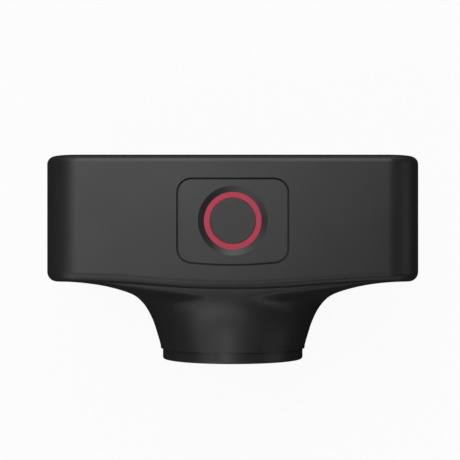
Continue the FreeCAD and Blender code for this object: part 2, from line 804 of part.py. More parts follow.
post_front = "face_plane + cover_recess / 3"
posts = [rod(f"cover_post_{index}", (across, post_front, up), "y", "post_radius",
             f"cavity_rear - ({post_front})")
         for index, (across, up) in enumerate(POSTS)]
pilots = [rod(f"post_pilot_{index}", (across, "cavity_rear - housing_screw_length", up), "y",
              "housing_screw_radius", "housing_screw_length + wall")
          for index, (across, up) in enumerate(POSTS)]
MICROPHONES = ["microphone_spread", "-microphone_spread"]
boss_front = "face_plane - cover_wall / 3"
bosses = [rod(f"microphone_boss_{index}", (across, boss_front, "lens_height"), "y",
              "microphone_boss_radius", f"seat_plane - ({boss_front})")
          for index, across in enumerate(MICROPHONES)]
sound_holes = [rod(f"sound_hole_{index}", (across, "front_plane", "lens_height"), "y",
                   "microphone_hole_radius", "total_depth / 2")
               for index, across in enumerate(MICROPHONES)]
cover = cut("front_cover", fused("cover_with_posts", [cover_shell] + posts + bosses),
            pilots + sound_holes)
piece(cover, "front_cover")


# Lens end, on the axis through the neck: outlines are (radius, place along Y).

ring_outline = [
    ("window_radius + seam_gap / 2", "front_plane"),
    ("ring_radius", "front_plane"),
    ("ring_radius", "neck_plane"),
    ("spigot_radius", "neck_plane"),
    ("spigot_radius", "spigot_rear"),
    ("window_bore", "spigot_rear"),
    ("window_bore", "window_rear"),
    ("window_radius + seam_gap / 2", "window_rear"),
]
ring, ring_turned = turned("lens_ring", "XY_Plane", ring_outline, LENS_AXIS)
doc.recompute()
front_edges = edges_where(ring_turned, lambda box: box.YMax < value("front_plane") + 0.01
                          and box.XLength > 2 * value("window_radius + ring_edge_radius"))
fillet(ring, ring_turned, front_edges, "ring_edge_radius", "lens_ring_edge")
piece(ring, "lens_ring")

window_outline = [
    ("0", "window_front"),
    ("window_radius - window_bevel", "window_front"),
    ("window_radius", "window_front + window_bevel"),
    ("window_radius", "window_rear"),
    ("0", "window_rear"),
]
piece(turned("lens_window", "XY_Plane", window_outline, LENS_AXIS)[0], "lens_window")

baffle_rear = "holder_front - baffle_clearance"
baffle_small = "barrel_radius + baffle_play"
baffle_outline = [
    ("window_bore", "spigot_rear"),
    ("spigot_radius", "spigot_rear"),
    ("spigot_radius", "spigot_rear + baffle_wall"),
    ("window_bore + baffle_wall", "spigot_rear + baffle_wall"),
    (baffle_small + " + baffle_wall", baffle_rear),
    (baffle_small, baffle_rear),
]
piece(turned("lens_baffle", "XY_Plane", baffle_outline, LENS_AXIS)[0], "lens_baffle")

# The barrel has two inner lips, and a front, a middle and a rear element seated on them.
front_lip = "barrel_front + front_seat_depth"
rear_lip = "holder_wall_plane - rear_seat_depth"
lip_bore = "barrel_bore - lens_edge"
barrel_outline = [
    ("barrel_bore", "barrel_front"),
    ("barrel_radius", "barrel_front"),
    ("barrel_radius", "holder_wall_plane"),
    ("barrel_bore", "holder_wall_plane"),
    ("barrel_bore", rear_lip),
    (lip_bore, rear_lip),
    (lip_bore, rear_lip + " - lens_edge"),
    ("barrel_bore", rear_lip + " - lens_edge"),
    ("barrel_bore", front_lip + " + lens_edge"),
    (lip_bore, front_lip + " + lens_edge"),
    (lip_bore, front_lip),
    ("barrel_bore", front_lip),
]
piece(turned("lens_barrel", "XY_Plane", barrel_outline, LENS_AXIS)[0], "lens_barrel")


def element(name, start, thickness, front_radius, hollow_radius=None):
    """A round glass element with a bulging front, and a hollow back where one is given."""
    disc = rod(name + "_disc", ("0", start, "lens_height"), "y",
               "barrel_bore - lens_play", thickness)
    bulge = ball(name + "_bulge", ("0", f"{start} + {front_radius}", "lens_height"),
                 front_radius)
    glass = common(name + "_form", [disc, bulge])
    if hollow_radius is None:
        return piece(glass, name)
    rim = f"sqrt({hollow_radius} * {hollow_radius} - ({lip_bore}) * ({lip_bore}))"
    hollow = ball(name + "_hollow",
                  ("0", f"{start} + {thickness} + {rim}", "lens_height"), hollow_radius)
    return piece(cut(name, glass, [hollow]), name)


element("front_lens", front_lip + " - front_lens_thickness", "front_lens_thickness",
        "front_lens_curve", "front_lens_hollow")
element("middle_lens", front_lip + " + lens_edge", "middle_lens_thickness", "middle_lens_curve")
element("rear_lens", rear_lip, "rear_lens_thickness", "rear_lens_curve")


# Sensor stack: holder, filter, sensor and board, on four standoffs in front of the main board.

holder_base = centred_block("holder_base",
                            ("0", "sensor_plane - holder_base_thickness / 2", "lens_height"),
                            ("holder_base", "holder_base_thickness", "holder_base"))
holder_tube = rod("holder_tube", ("0", "holder_front", "lens_height"), "y",
                  "barrel_radius + holder_wall", "holder_length + filter_seat / 2")
holder_bore = rod("holder_bore", ("0", "holder_front - wall", "lens_height"), "y",
                  "barrel_radius + lens_play", "holder_length + wall")
light_path = rod("light_path", ("0", "holder_front", "lens_height"), "y",
                 lip_bore, "holder_length + holder_base_thickness")
sensor_room = centred_block("sensor_room",
                            ("0", "sensor_plane - sensor_room_depth / 2 + seam_gap / 2",
                             "lens_height"),
                            ("filter_side + 2 * seam_gap", "sensor_room_depth + seam_gap",
                             "filter_side + 2 * seam_gap"))
holder_holes = [rod(f"holder_hole_{index}", (across, "holder_front", up), "y",
                    "small_screw_radius + seam_gap", "holder_length + 2 * holder_base_thickness")
                for index, (across, up) in enumerate(SENSOR_SCREWS)]
piece(cut("lens_holder", fused("holder_form", [holder_base, holder_tube]),
          [holder_bore, light_path, sensor_room] + holder_holes), "lens_holder")

filter_front = "holder_wall_plane + filter_seat"
piece(centred_block("ir_filter",
                    ("0", filter_front + " + filter_thickness / 2", "lens_height"),
                    ("filter_side", "filter_thickness", "filter_side")), "ir_filter")
piece(centred_block("image_sensor",
                    ("0", "sensor_plane - sensor_thickness / 2", "lens_height"),
                    ("sensor_width", "sensor_thickness", "sensor_height")), "image_sensor")

sensor_board_form = centred_block("sensor_board_form",
                                  ("0", "sensor_plane + board_thickness / 2",
                                   "lens_height"),
                                  ("sensor_board_side", "board_thickness", "sensor_board_side"))
board_holes = [rod(f"sensor_board_hole_{index}", (across, "sensor_plane - wall", up), "y",
                   "small_screw_radius + seam_gap", "board_thickness + 2 * wall")
               for index, (across, up) in enumerate(SENSOR_SCREWS)]
piece(cut("sensor_board", sensor_board_form, board_holes), "sensor_board")

standoffs = []
sensor_screws = []
for index, (across, up) in enumerate(SENSOR_SCREWS):
    spacer = rod(f"spacer_{index}", (across, "main_plane - standoff_length", up), "y",
                 "small_head_radius + small_screw_radius", "standoff_length")
    thread = rod(f"spacer_thread_{index}", (across, "main_plane - standoff_length", up), "y",
                 "small_screw_radius", "small_screw_grip")
    standoffs.append(cut(f"standoff_{index}", spacer, [thread]))
    head = rod(f"sensor_screw_head_{index}",
               (across, "holder_wall_plane - small_head_height", up), "y",
               "small_head_radius", "small_head_height")
    shank = rod(f"sensor_screw_shank_{index}", (across, "holder_wall_plane", up), "y",
                "small_screw_radius",
                "holder_base_thickness + board_thickness + small_screw_grip - seam_gap")
    sensor_screws.append(fused(f"sensor_screw_{index}", [head, shank]))
piece(group("sensor_standoffs", standoffs), "sensor_standoffs")
piece(group("sensor_screws", sensor_screws), "sensor_screws")
piece(block("sensor_connector",
            ("-connector_length / 2", "main_plane - standoff_length",
             "lens_height + sensor_height / 2"),
            ("connector_length", "standoff_length", "connector_width")), "sensor_connector")


# Control panel on the top: plate, gasket, light ring, button and the board below them.

panel = new_body("control_panel")
flange_outline = new_sketch(panel, "XY_Plane", "panel_under", "panel_flange_outline")
add_panel_outline(flange_outline, "panel_flange")
pad(panel, flange_outline, "panel_flange_thickness", "panel_flange_pad")
plate = new_sketch(panel, "XY_Plane", "panel_under", "panel_plate_outline")
add_panel_outline(plate, "0")
pad(panel, plate, "panel_thickness", "panel_plate_pad")
panel_posts = new_sketch(panel, "XY_Plane", "button_board_top", "panel_posts_outline")
circles(panel_posts, PANEL_POSTS, "panel_post_radius")
pad(panel, panel_posts, "panel_post_drop + wall / 2", "panel_posts_pad")
panel_pilots = new_sketch(panel, "XY_Plane", "button_board_top", "panel_pilots_outline")
circles(panel_pilots, PANEL_POSTS, "small_screw_radius")
pocket(panel, panel_pilots, "panel_pilots", "small_screw_grip", along_normal=True)
recess = new_sketch(panel, "XZ_Plane", across_depth("button_place"), "recess_outline")
add_polygon(recess, [("0", "panel_under - wall"),
                     ("light_outer_radius", "panel_under - wall"),
                     ("light_outer_radius", "ring_floor"),
                     ("recess_radius", "housing_top"),
                     ("recess_radius", "housing_top + wall"),
                     ("0", "housing_top + wall")])
recess_cut = panel.newObject("PartDesign::Groove", "recess_cut")
recess_cut.Profile = recess
recess_cut.ReferenceAxis = (recess, ["V_Axis"])
recess_cut.Angle = 360
piece(panel, "control_panel")

gasket = new_body("panel_gasket")
gasket_outline = new_sketch(gasket, "XY_Plane", "panel_under + panel_flange_thickness",
                            "gasket_outline")
add_panel_outline(gasket_outline, "panel_flange")
pad(gasket, gasket_outline, "panel_gasket_thickness", "gasket_pad")
gasket_hole = new_sketch(gasket, "XY_Plane", "panel_under", "gasket_hole_outline")
add_panel_outline(gasket_hole, "panel_gap")
pocket(gasket, gasket_hole, "gasket_hole", along_normal=True)
piece(gasket, "panel_gasket")

light_outline = [
    ("light_inner_radius", "light_under"),
    ("light_outer_radius + light_flange", "light_under"),
    ("light_outer_radius + light_flange", "panel_under"),
    ("light_outer_radius - light_fit", "panel_under"),
    ("light_outer_radius - light_fit", "ring_floor"),
    ("light_inner_radius", "ring_floor"),
]
piece(turned("light_ring", "XZ_Plane", light_outline, BUTTON_AXIS)[0], "light_ring")

plunger_end = "button_board_top + switch_height + switch_stem + button_travel + seam_gap"
button_outline = [
    ("0", plunger_end),
    ("switch_stem_radius", plunger_end),
    ("switch_stem_radius", "button_flange_top - button_flange_thickness"),
    ("light_inner_radius + button_flange", "button_flange_top - button_flange_thickness"),
    ("light_inner_radius + button_flange", "button_flange_top"),
    ("light_inner_radius - button_play", "button_flange_top"),
    ("light_inner_radius - button_play", "ring_floor"),
    ("0", "ring_floor"),
]
piece(turned("record_button", "XZ_Plane", button_outline, BUTTON_AXIS)[0], "record_button")

button_board_form = centred_block(
    "button_board_form", ("0", "button_place", "button_board_top - board_thickness / 2"),
    ("2 * (panel_post_spread + panel_post_radius)", "2 * (panel_post_reach + panel_post_radius)",
     "board_thickness"))
button_board_bottom = "button_board_top - board_thickness"
panel_holes = [rod(f"panel_hole_{index}", (across, up, button_board_bottom + " - wall"), "z",
                   "small_screw_radius + seam_gap", "board_thickness + 2 * wall")
               for index, (across, up) in enumerate(PANEL_POSTS)]
piece(cut("button_board", button_board_form, panel_holes), "button_board")

panel_screws = []
for index, (across, up) in enumerate(PANEL_POSTS):
    head = rod(f"panel_screw_head_{index}",
               (across, up, button_board_bottom + " - small_head_height"), "z",
               "small_head_radius", "small_head_height")
    shank = rod(f"panel_screw_shank_{index}", (across, up, button_board_bottom), "z",
                "small_screw_radius", "board_thickness + small_screw_grip - seam_gap")
    panel_screws.append(fused(f"panel_screw_{index}", [head, shank]))
piece(group("panel_screws", panel_screws), "panel_screws")

switch_body = centred_block("record_switch_body",
                            ("0", "button_place", "button_board_top + switch_height / 2"),
                            ("switch_side", "switch_side", "switch_height"))
switch_stem = rod("record_switch_stem",
                  ("0", "button_place", "button_board_top + switch_height"), "z",
                  "switch_stem_radius", "switch_stem")
piece(fused("record_switch", [switch_body, switch_stem]), "record_switch")

leds = []
led_circle = "light_outer_radius"
for index in range(int(value("led_count"))):
    angle = f"({index} + 0.5) * 360 / led_count"
    led = centred_block(f"led_{index}",
                        (f"{led_circle} * cos({angle})",
                         f"button_place + {led_circle} * sin({angle})",
                         "button_board_top + led_height / 2"),
                        ("led_length", "led_width", "led_height"))
    leds.append(led)
piece(group("ring_leds", leds), "ring_leds")

flex_top = button_board_bottom + " - flex_thickness"
flex_across = block("button_flex_across", ("-flex_width / 2", "main_plane - flex_thickness", flex_top),
                    ("flex_width", "flex_reach", "flex_thickness"))
flex_down = block("button_flex_down",
                  ("-flex_width / 2", "main_plane - flex_thickness", "main_board_top - flex_grip"),
                  ("flex_width", "flex_thickness",
                   f"{flex_top} + flex_thickness - main_board_top + flex_grip"))
piece(fused("button_flex", [flex_across, flex_down]), "button_flex")


# Main board on four posts, with the processor, its heat spreader and the radio.

def main_block(name, across, up, front, size):
    """A box on the main board, centred across and up, from its front plane."""
    width, depth, height = size
    middle = (across, f"{front} + ({depth}) / 2", up)
    return centred_block(name, middle, size)


main_board_form = main_block("main_board_form", "0", "main_board_middle", "main_plane",
                             ("main_board_width", "board_thickness", "main_board_height"))
main_holes = [rod(f"main_board_hole_{index}", (across, "main_plane - wall", up), "y",
                  "small_screw_radius + seam_gap", "board_thickness + 2 * wall")
              for index, (across, up) in enumerate(MAIN_POSTS)]
piece(cut("main_board", main_board_form, main_holes), "main_board")

board_screws = []
for index, (across, up) in enumerate(MAIN_POSTS):
    head = rod(f"board_screw_head_{index}", (across, "main_plane - small_head_height", up), "y",
               "small_head_radius", "small_head_height")
    shank = rod(f"board_screw_shank_{index}", (across, "main_plane", up), "y",
                "small_screw_radius", "board_thickness + small_screw_grip - seam_gap")
    board_screws.append(fused(f"board_screw_{index}", [head, shank]))
piece(group("board_screws", board_screws), "board_screws")

piece(main_block("main_processor", "0", "main_board_middle", "main_rear",
                 ("chip_side", "chip_height", "chip_side")), "main_processor")
piece(main_block("thermal_pad", "0", "main_board_middle", "main_rear + chip_height",
                 ("chip_side", "pad_thickness", "chip_side")), "thermal_pad")
memories = [main_block(f"memory_chip_{index}", f"{side}memory_spread", "main_board_middle",
                       "main_rear", ("memory_width", "memory_height", "memory_length"))
            for index, side in enumerate(("", "-"))]
piece(group("memory_chips", memories), "memory_chips")
piece(main_block("wireless_module", "-wireless_place", "main_board_middle",
                 "main_plane - wireless_thickness",
                 ("wireless_width", "wireless_thickness", "wireless_height")), "wireless_module")

spreader_front = "main_rear + chip_height + pad_thickness"
spreader_plate = main_block("spreader_plate", "0", "main_board_middle", spreader_front,
                            ("spreader_width", "spreader_thickness", "spreader_height"))
SPREADER_FEET = [(f"{side}(spreader_width / 2 - spreader_foot_radius)",
                  f"main_board_middle {side or '+'} (spreader_height / 2 - spreader_foot_radius)")
                 for side in ("", "-")]
feet = [rod(f"spreader_foot_{index}", (across, "main_rear", up), "y", "spreader_foot_radius",
            "chip_height + pad_thickness + spreader_thickness / 2")
        for index, (across, up) in enumerate(SPREADER_FEET)]
spreader_holes = [rod(f"spreader_hole_{index}", (across, "main_rear - wall", up), "y",
                      "small_screw_radius", "small_screw_grip + wall + spreader_thickness")
                  for index, (across, up) in enumerate(SPREADER_FEET)]
piece(cut("heat_spreader", fused("spreader_form", [spreader_plate] + feet), spreader_holes),
      "heat_spreader")
spreader_screws = []
for index, (across, up) in enumerate(SPREADER_FEET):
    screw_start = spreader_front + " + spreader_thickness"
    head = rod(f"spreader_screw_head_{index}", (across, screw_start, up), "y",
               "small_head_radius", "small_head_height")
    shank = rod(f"spreader_screw_shank_{index}", (across, "main_rear + seam_gap", up), "y",
                "small_screw_radius",
                "chip_height + pad_thickness + spreader_thickness - seam_gap")
    spreader_screws.append(fused(f"spreader_screw_{index}", [head, shank]))
piece(group("spreader_screws", spreader_screws), "spreader_screws")

piece(block("antenna", ("-cavity_half_width", "battery_front", "lens_height - antenna_height / 2"),
            ("flex_thickness", "tape_thickness + battery_thickness - antenna_margin",
             "antenna_height")), "antenna")
piece(block("battery_pack", ("-battery_width / 2", "battery_front", "battery_rise"),
            ("battery_width", "battery_thickness", "battery_height")), "battery_pack")
piece(block("battery_tape",
            ("-battery_width / 4", "cavity_rear - tape_thickness", "battery_rise + tape_thickness"),
            ("battery_width / 2", "tape_thickness", "battery_height - 2 * tape_thickness")),
      "battery_tape")


# Port board low at the back, with its ports and the power button.

io_board_form = block("io_board_form", ("-io_board_width / 2", "io_board_front", "io_board_rise"),
                      ("io_board_width", "io_board_depth", "board_thickness"))
io_holes = [rod(f"io_board_hole_{index}", (across, along, "io_board_rise - wall"), "z",
                "small_screw_radius + seam_gap", "board_thickness + 2 * wall")
            for index, (across, along) in enumerate(IO_POSTS)]
piece(cut("io_board", io_board_form, io_holes), "io_board")
io_screws = []
for index, (across, along) in enumerate(IO_POSTS):
    head = rod(f"io_screw_head_{index}", (across, along, "io_board_top"), "z",
               "small_head_radius", "small_head_height")
    shank = rod(f"io_screw_shank_{index}",
                (across, along, "io_board_rise - io_screw_grip + seam_gap"), "z",
                "small_screw_radius", "board_thickness + io_screw_grip - seam_gap")
    io_screws.append(fused(f"io_screw_{index}", [head, shank]))
piece(group("io_screws", io_screws), "io_screws")

io_flex_along = block("io_flex_along", ("-flex_width / 2", "main_rear", "io_board_top"),
                      ("flex_width", "io_board_front - main_rear + flex_landing",
                       "flex_thickness"))
io_flex_up = block("io_flex_up", ("-flex_width / 2", "main_rear", "io_board_top"),
                   ("flex_width", "flex_thickness", "flex_grip"))
piece(fused("io_flex", [io_flex_along, io_flex_up]), "io_flex")

# The socket is a bent metal shell round a tongue, closed at its inner end.
usb_mouth = "rear_plane - port_setback"
usb = new_body("usb_c_port")
usb_rows = ("usb_height / 2 + io_board_top", "usb_width / 2", "usb_height / 2")
shell = new_sketch(usb, "XZ_Plane", across_depth(usb_mouth), "usb_shell_outline")
add_rounded_rectangle(shell, "0", *usb_rows, "usb_corner")
pad(usb, shell, "usb_depth", "usb_shell")
hollow = new_sketch(usb, "XZ_Plane", across_depth(usb_mouth), "usb_hollow_outline")
add_rounded_rectangle(hollow, "0", usb_rows[0], "usb_width / 2 - usb_metal",
                      "usb_height / 2 - usb_metal", "usb_corner - usb_metal")
pocket(usb, hollow, "usb_hollow", "usb_depth - usb_back", along_normal=True)
tongue = new_sketch(usb, "XZ_Plane", across_depth(f"{usb_mouth} - usb_tongue_setback"),
                    "usb_tongue_outline")
add_rounded_rectangle(tongue, "0", usb_rows[0], "usb_tongue_width / 2",
                      "usb_tongue_height / 2", "usb_tongue_height / 4")
pad(usb, tongue, "usb_depth - usb_tongue_setback", "usb_tongue")
piece(usb, "usb_c_port")

card_low = ("card_slot_centre - card_slot_width / 2",
            "cavity_rear - seam_gap - card_slot_depth", "io_board_top")
card_form = block("card_slot_form", card_low,
                  ("card_slot_width", "card_slot_depth", "card_slot_height"))
card_space = block("card_space",
                   ("card_slot_centre - card_slot_width / 2 + usb_metal",
                    "cavity_rear - card_slot_depth + usb_back",
                    "io_board_top + card_slot_height / 2 - card_mouth_height / 2"),
                   ("card_slot_width - 2 * usb_metal", "card_slot_depth", "card_mouth_height"))
piece(cut("memory_card_slot", card_form, [card_space]), "memory_card_slot")

power_outer = "rear_plane - seam_gap"
power_flange_rear = "cavity_rear - button_play"
power_flange_front = f"{power_flange_rear} - power_flange_thickness"
power_outline = [
    ("0", f"{power_flange_front} - power_stem"),
    ("switch_stem_radius", f"{power_flange_front} - power_stem"),
    ("switch_stem_radius", power_flange_front),
    ("power_radius + power_flange", power_flange_front),
    ("power_radius + power_flange", power_flange_rear),
    ("power_radius", power_flange_rear),
    ("power_radius", power_outer),
    ("0", power_outer),
]
piece(turned("power_button", "XY_Plane", power_outline,
             ("-power_centre", "0", "power_rise"))[0], "power_button")
power_switch_rear = f"{power_flange_front} - power_stem - button_travel - seam_gap"
power_body = block("power_switch_body",
                   ("-power_centre - switch_side / 2",
                    f"{power_switch_rear} - switch_stem - switch_side", "io_board_top"),
                   ("switch_side", "switch_side",
                    "power_rise + switch_side / 2 - io_board_top"))
power_stem = rod("power_switch_stem",
                 ("-power_centre", f"{power_switch_rear} - switch_stem", "power_rise"), "y",
                 "switch_stem_radius", "switch_stem")
piece(fused("power_switch", [power_body, power_stem]), "power_switch")


# Base: the brass nut for a camera stand, flanged inside the housing, and the rubber pad.

nut_shank = rod("nut_shank", ("0", "tripod_place", "housing_bottom"), "z",
                "nut_radius - seam_gap / 2", "thread_length")
nut_head = rod("nut_head",
               ("0", "tripod_place",
                "housing_bottom + thread_length - nut_head_thickness"), "z",
               "nut_head_radius", "nut_head_thickness")
nut_thread = rod("nut_thread", ("0", "tripod_place", "housing_bottom - wall"), "z",
                 "thread_radius", "thread_length + 2 * wall")
piece(cut("tripod_nut", fused("nut_form", [nut_shank, nut_head]), [nut_thread]), "tripod_nut")

foot = new_body("foot_pad")
foot_outline = new_sketch(foot, "XY_Plane", "0", "foot_outline")
add_rounded_rectangle(foot_outline, "0", "foot_place", "foot_length / 2", "foot_width / 2",
                      "foot_corner_radius")
pad(foot, foot_outline, "foot_thickness", "foot_pad_form")
foot_hole = new_sketch(foot, "XY_Plane", "0", "foot_hole_outline")
add_circle(foot_hole, "0", "tripod_place", "foot_hole_radius")
pocket(foot, foot_hole, "foot_hole", along_normal=True)
piece(foot, "foot_pad")


# Microphones behind the two holes in the front cover, each on a small board of its own.

gaskets, microphones, microphone_boards = [], [], []
for index, across in enumerate(MICROPHONES):
    ring_form = rod(f"microphone_gasket_form_{index}", (across, "seat_plane", "lens_height"), "y",
                    "microphone_boss_radius", "microphone_gasket")
    ring_hole = rod(f"microphone_gasket_hole_{index}",
                    (across, "seat_plane - wall", "lens_height"), "y",
                    "microphone_hole_radius", "microphone_gasket + 2 * wall")
    gaskets.append(cut(f"microphone_gasket_{index}", ring_form, [ring_hole]))
    microphone_front = "seat_plane + microphone_gasket"
    microphones.append(main_block(f"microphone_{index}", across, "lens_height",
                                  microphone_front,
                                  ("microphone_width", "microphone_depth", "microphone_height")))
    microphone_boards.append(main_block(f"microphone_board_{index}", across, "lens_height",
                                        microphone_front + " + microphone_depth",
                                        ("microphone_board_width", "board_thickness / 2",
                                         "microphone_board_width")))
piece(group("microphone_gaskets", gaskets), "microphone_gaskets")
piece(group("microphones", microphones), "microphones")
piece(group("microphone_boards", microphone_boards), "microphone_boards")


# Four screws hold the front cover's posts to the back wall.

housing_screws = []
for index, (across, up) in enumerate(POSTS):
    head = rod(f"housing_screw_head_{index}", (across, "rear_plane - screw_head_height", up), "y",
               "screw_head_radius", "screw_head_height - screw_head_sink")
    shank = rod(f"housing_screw_shank_{index}",
                (across, "cavity_rear - housing_screw_length + seam_gap", up), "y",
                "housing_screw_radius",
                "housing_screw_length - seam_gap + wall - screw_head_height")
    drive = rod(f"housing_screw_drive_{index}",
                (across, "rear_plane - screw_head_sink - screw_drive_depth", up), "y",
                "screw_drive_radius", "screw_drive_depth + wall")
    housing_screws.append(cut(f"housing_screw_{index}",
                              fused(f"housing_screw_form_{index}", [head, shank]), [drive]))
piece(group("housing_screws", housing_screws), "housing_screws")


# Rebuild, make sure that nothing failed, and write one file for each sub-part.

doc.recompute()
failed = [thing.Name for thing in doc.Objects
          if {"Invalid", "Error"} & set(thing.State)]
if failed:
    raise RuntimeError("not built: " + ", ".join(failed))
for thing in pieces:
    if thing.Shape.isNull() or not thing.Shape.isValid() or not thing.Shape.Solids:
        raise RuntimeError("not a sound solid: " + thing.Label)

os.makedirs("parts", exist_ok=True)
for thing in pieces:
    thing.Shape.exportStep(f"parts/{thing.Label}.step")
    box = thing.Shape.BoundBox
    print(f"{thing.Label}: {len(thing.Shape.Solids)} solids, {thing.Shape.Volume:.1f} mm3, "
          f"x {box.XMin:.2f} {box.XMax:.2f}, y {box.YMin:.2f} {box.YMax:.2f}, "
          f"z {box.ZMin:.2f} {box.ZMax:.2f}")
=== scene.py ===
"""Looks of a small streaming webcam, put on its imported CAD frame."""

import json
import math

import bmesh
import bpy
from bpy.props import FloatProperty, FloatVectorProperty, PointerProperty
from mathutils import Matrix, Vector

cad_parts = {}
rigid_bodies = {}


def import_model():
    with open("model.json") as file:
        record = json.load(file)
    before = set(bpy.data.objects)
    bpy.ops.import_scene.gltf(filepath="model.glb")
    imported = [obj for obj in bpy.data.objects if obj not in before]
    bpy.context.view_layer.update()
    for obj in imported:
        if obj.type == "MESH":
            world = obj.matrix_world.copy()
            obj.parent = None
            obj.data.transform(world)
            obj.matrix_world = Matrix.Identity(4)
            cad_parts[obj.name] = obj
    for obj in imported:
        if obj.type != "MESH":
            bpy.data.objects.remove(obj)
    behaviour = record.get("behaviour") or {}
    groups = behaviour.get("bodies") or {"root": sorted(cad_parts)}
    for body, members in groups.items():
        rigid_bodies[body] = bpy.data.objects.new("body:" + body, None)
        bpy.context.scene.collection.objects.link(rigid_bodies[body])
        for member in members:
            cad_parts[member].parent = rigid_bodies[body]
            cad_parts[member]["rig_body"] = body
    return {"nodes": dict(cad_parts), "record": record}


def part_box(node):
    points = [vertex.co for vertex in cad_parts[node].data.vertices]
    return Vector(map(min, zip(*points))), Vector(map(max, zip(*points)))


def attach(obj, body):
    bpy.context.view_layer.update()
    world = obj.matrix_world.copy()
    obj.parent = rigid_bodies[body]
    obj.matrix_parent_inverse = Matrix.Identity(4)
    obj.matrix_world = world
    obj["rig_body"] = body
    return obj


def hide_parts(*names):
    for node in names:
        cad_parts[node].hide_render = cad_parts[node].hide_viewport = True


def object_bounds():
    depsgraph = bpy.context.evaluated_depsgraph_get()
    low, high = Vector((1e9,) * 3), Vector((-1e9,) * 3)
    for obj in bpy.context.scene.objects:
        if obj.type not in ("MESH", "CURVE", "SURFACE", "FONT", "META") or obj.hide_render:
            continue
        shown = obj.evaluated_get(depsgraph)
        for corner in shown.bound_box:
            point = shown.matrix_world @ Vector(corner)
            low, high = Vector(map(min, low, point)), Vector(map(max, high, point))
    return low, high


bl_info = {
    "name": "Streaming webcam",
    "version": (1, 0, 0),
    "blender": (4, 5, 0),
    "location": "3D View > Sidebar > Webcam",
    "description": "Dresses the CAD frame of a streaming webcam and sets its studio",
    "category": "Object",
}

for leftover in list(bpy.data.objects):
    bpy.data.objects.remove(leftover)

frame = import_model()
cad_box = [list(corner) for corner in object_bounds()]


# Settings that a user would change

def colour_setting(label, description, red, green, blue):
    """A linear colour."""
    return FloatVectorProperty(name=label, description=description, subtype="COLOR", size=4,
                               min=0, max=1, default=(red, green, blue, 1))


def length_setting(label, description, metres):
    """A length in metres."""
    return FloatProperty(name=label, description=description, default=metres, min=0,
                         precision=5, unit="LENGTH")


def share_setting(label, description, share):
    """A share from nothing to all."""
    return FloatProperty(name=label, description=description, default=share, min=0, max=1,
                         subtype="FACTOR")


def lamp_setting(label, description, watts):
    """The power of a lamp."""
    return FloatProperty(name=label, description=description, default=watts, min=0,
                         unit="POWER")


class WebcamShellSettings(bpy.types.PropertyGroup):
    """The moulded plastic that is seen from outside."""

    housing_colour: colour_setting("Housing", "Plastic of the housing and front cover",
                                   0.026, 0.026, 0.027)
    panel_colour: colour_setting("Panel", "Plastic of the control panel", 0.031, 0.031, 0.032)
    trim_colour: colour_setting("Trim", "Plastic of the ring round the window",
                                0.027, 0.027, 0.028)
    button_colour: colour_setting("Buttons", "Plastic of the two buttons", 0.031, 0.031, 0.032)
    light_colour: colour_setting("Light ring", "Red plastic of the light ring",
                                 0.50, 0.055, 0.090)
    glow_colour: colour_setting("Ring glow", "Light that shines through the light ring",
                                1.0, 0.10, 0.24)
    glow: share_setting("Glow", "How strongly the light ring is lit", 0.1)
    grain_size: length_setting("Grain size", "Width of one grain of the moulded texture",
                               0.00018)
    grain_depth: length_setting("Grain depth", "Height of the moulded texture", 0.000004)
    roughness: share_setting("Roughness", "How matt the plastic is", 0.38)
    shine: share_setting("Shine", "How strongly the plastic reflects", 0.6)
    crease_angle: FloatProperty(name="Crease angle", default=math.radians(32), subtype="ANGLE",
                                description="Edges that turn more than this stay sharp")
    panel_crease_angle: FloatProperty(name="Panel crease angle", default=math.radians(14),
                                      subtype="ANGLE",
                                      description="The same for the panel's shallow recess")


class WebcamOpticsSettings(bpy.types.PropertyGroup):
    """The window, the lens behind it and the sensor."""

    window_tint: colour_setting("Window", "Tint of the window", 0.93, 0.95, 0.96)
    glass_tint: colour_setting("Lens glass", "Tint of the lens elements", 0.90, 0.95, 0.93)
    filter_tint: colour_setting("Filter", "Tint of the heat filter", 0.62, 0.80, 0.84)
    coating_thickness: FloatProperty(name="Coating", default=310, min=0,
                                     description="Thickness of the coating in nanometres")
    black: colour_setting("Blackened parts", "Matt black of the lens mount", 0.012, 0.012, 0.013)


class WebcamInsideSettings(bpy.types.PropertyGroup):
    """The boards, the cell and their fixings."""

    board_colour: colour_setting("Boards", "Solder resist of the boards", 0.010, 0.075, 0.040)
    chip_colour: colour_setting("Chips", "Moulded packages", 0.014, 0.014, 0.015)
    film_colour: colour_setting("Flexible circuits", "Amber film", 0.42, 0.15, 0.022)
    cell_colour: colour_setting("Cell", "Foil of the power cell", 0.62, 0.63, 0.65)
    foam_colour: colour_setting("Foam", "Foam of gaskets and tape", 0.035, 0.035, 0.038)


class WebcamMetalSettings(bpy.types.PropertyGroup):
    """Bare and plated metals."""

    plated_colour: colour_setting("Plating", "Nickel plated sheet", 0.62, 0.60, 0.57)
    steel_colour: colour_setting("Screws", "Blackened steel screws", 0.09, 0.09, 0.095)
    spreader_colour: colour_setting("Heat spreader", "Rolled aluminium", 0.74, 0.75, 0.77)
    brass_colour: colour_setting("Brass", "Turned brass of the tripod nut", 0.72, 0.48, 0.16)
    thread_pitch: length_setting("Thread pitch", "Rise of the tripod thread in one turn",
                                 0.00127)
    rubber_colour: colour_setting("Foot", "Rubber of the foot pad", 0.020, 0.020, 0.021)


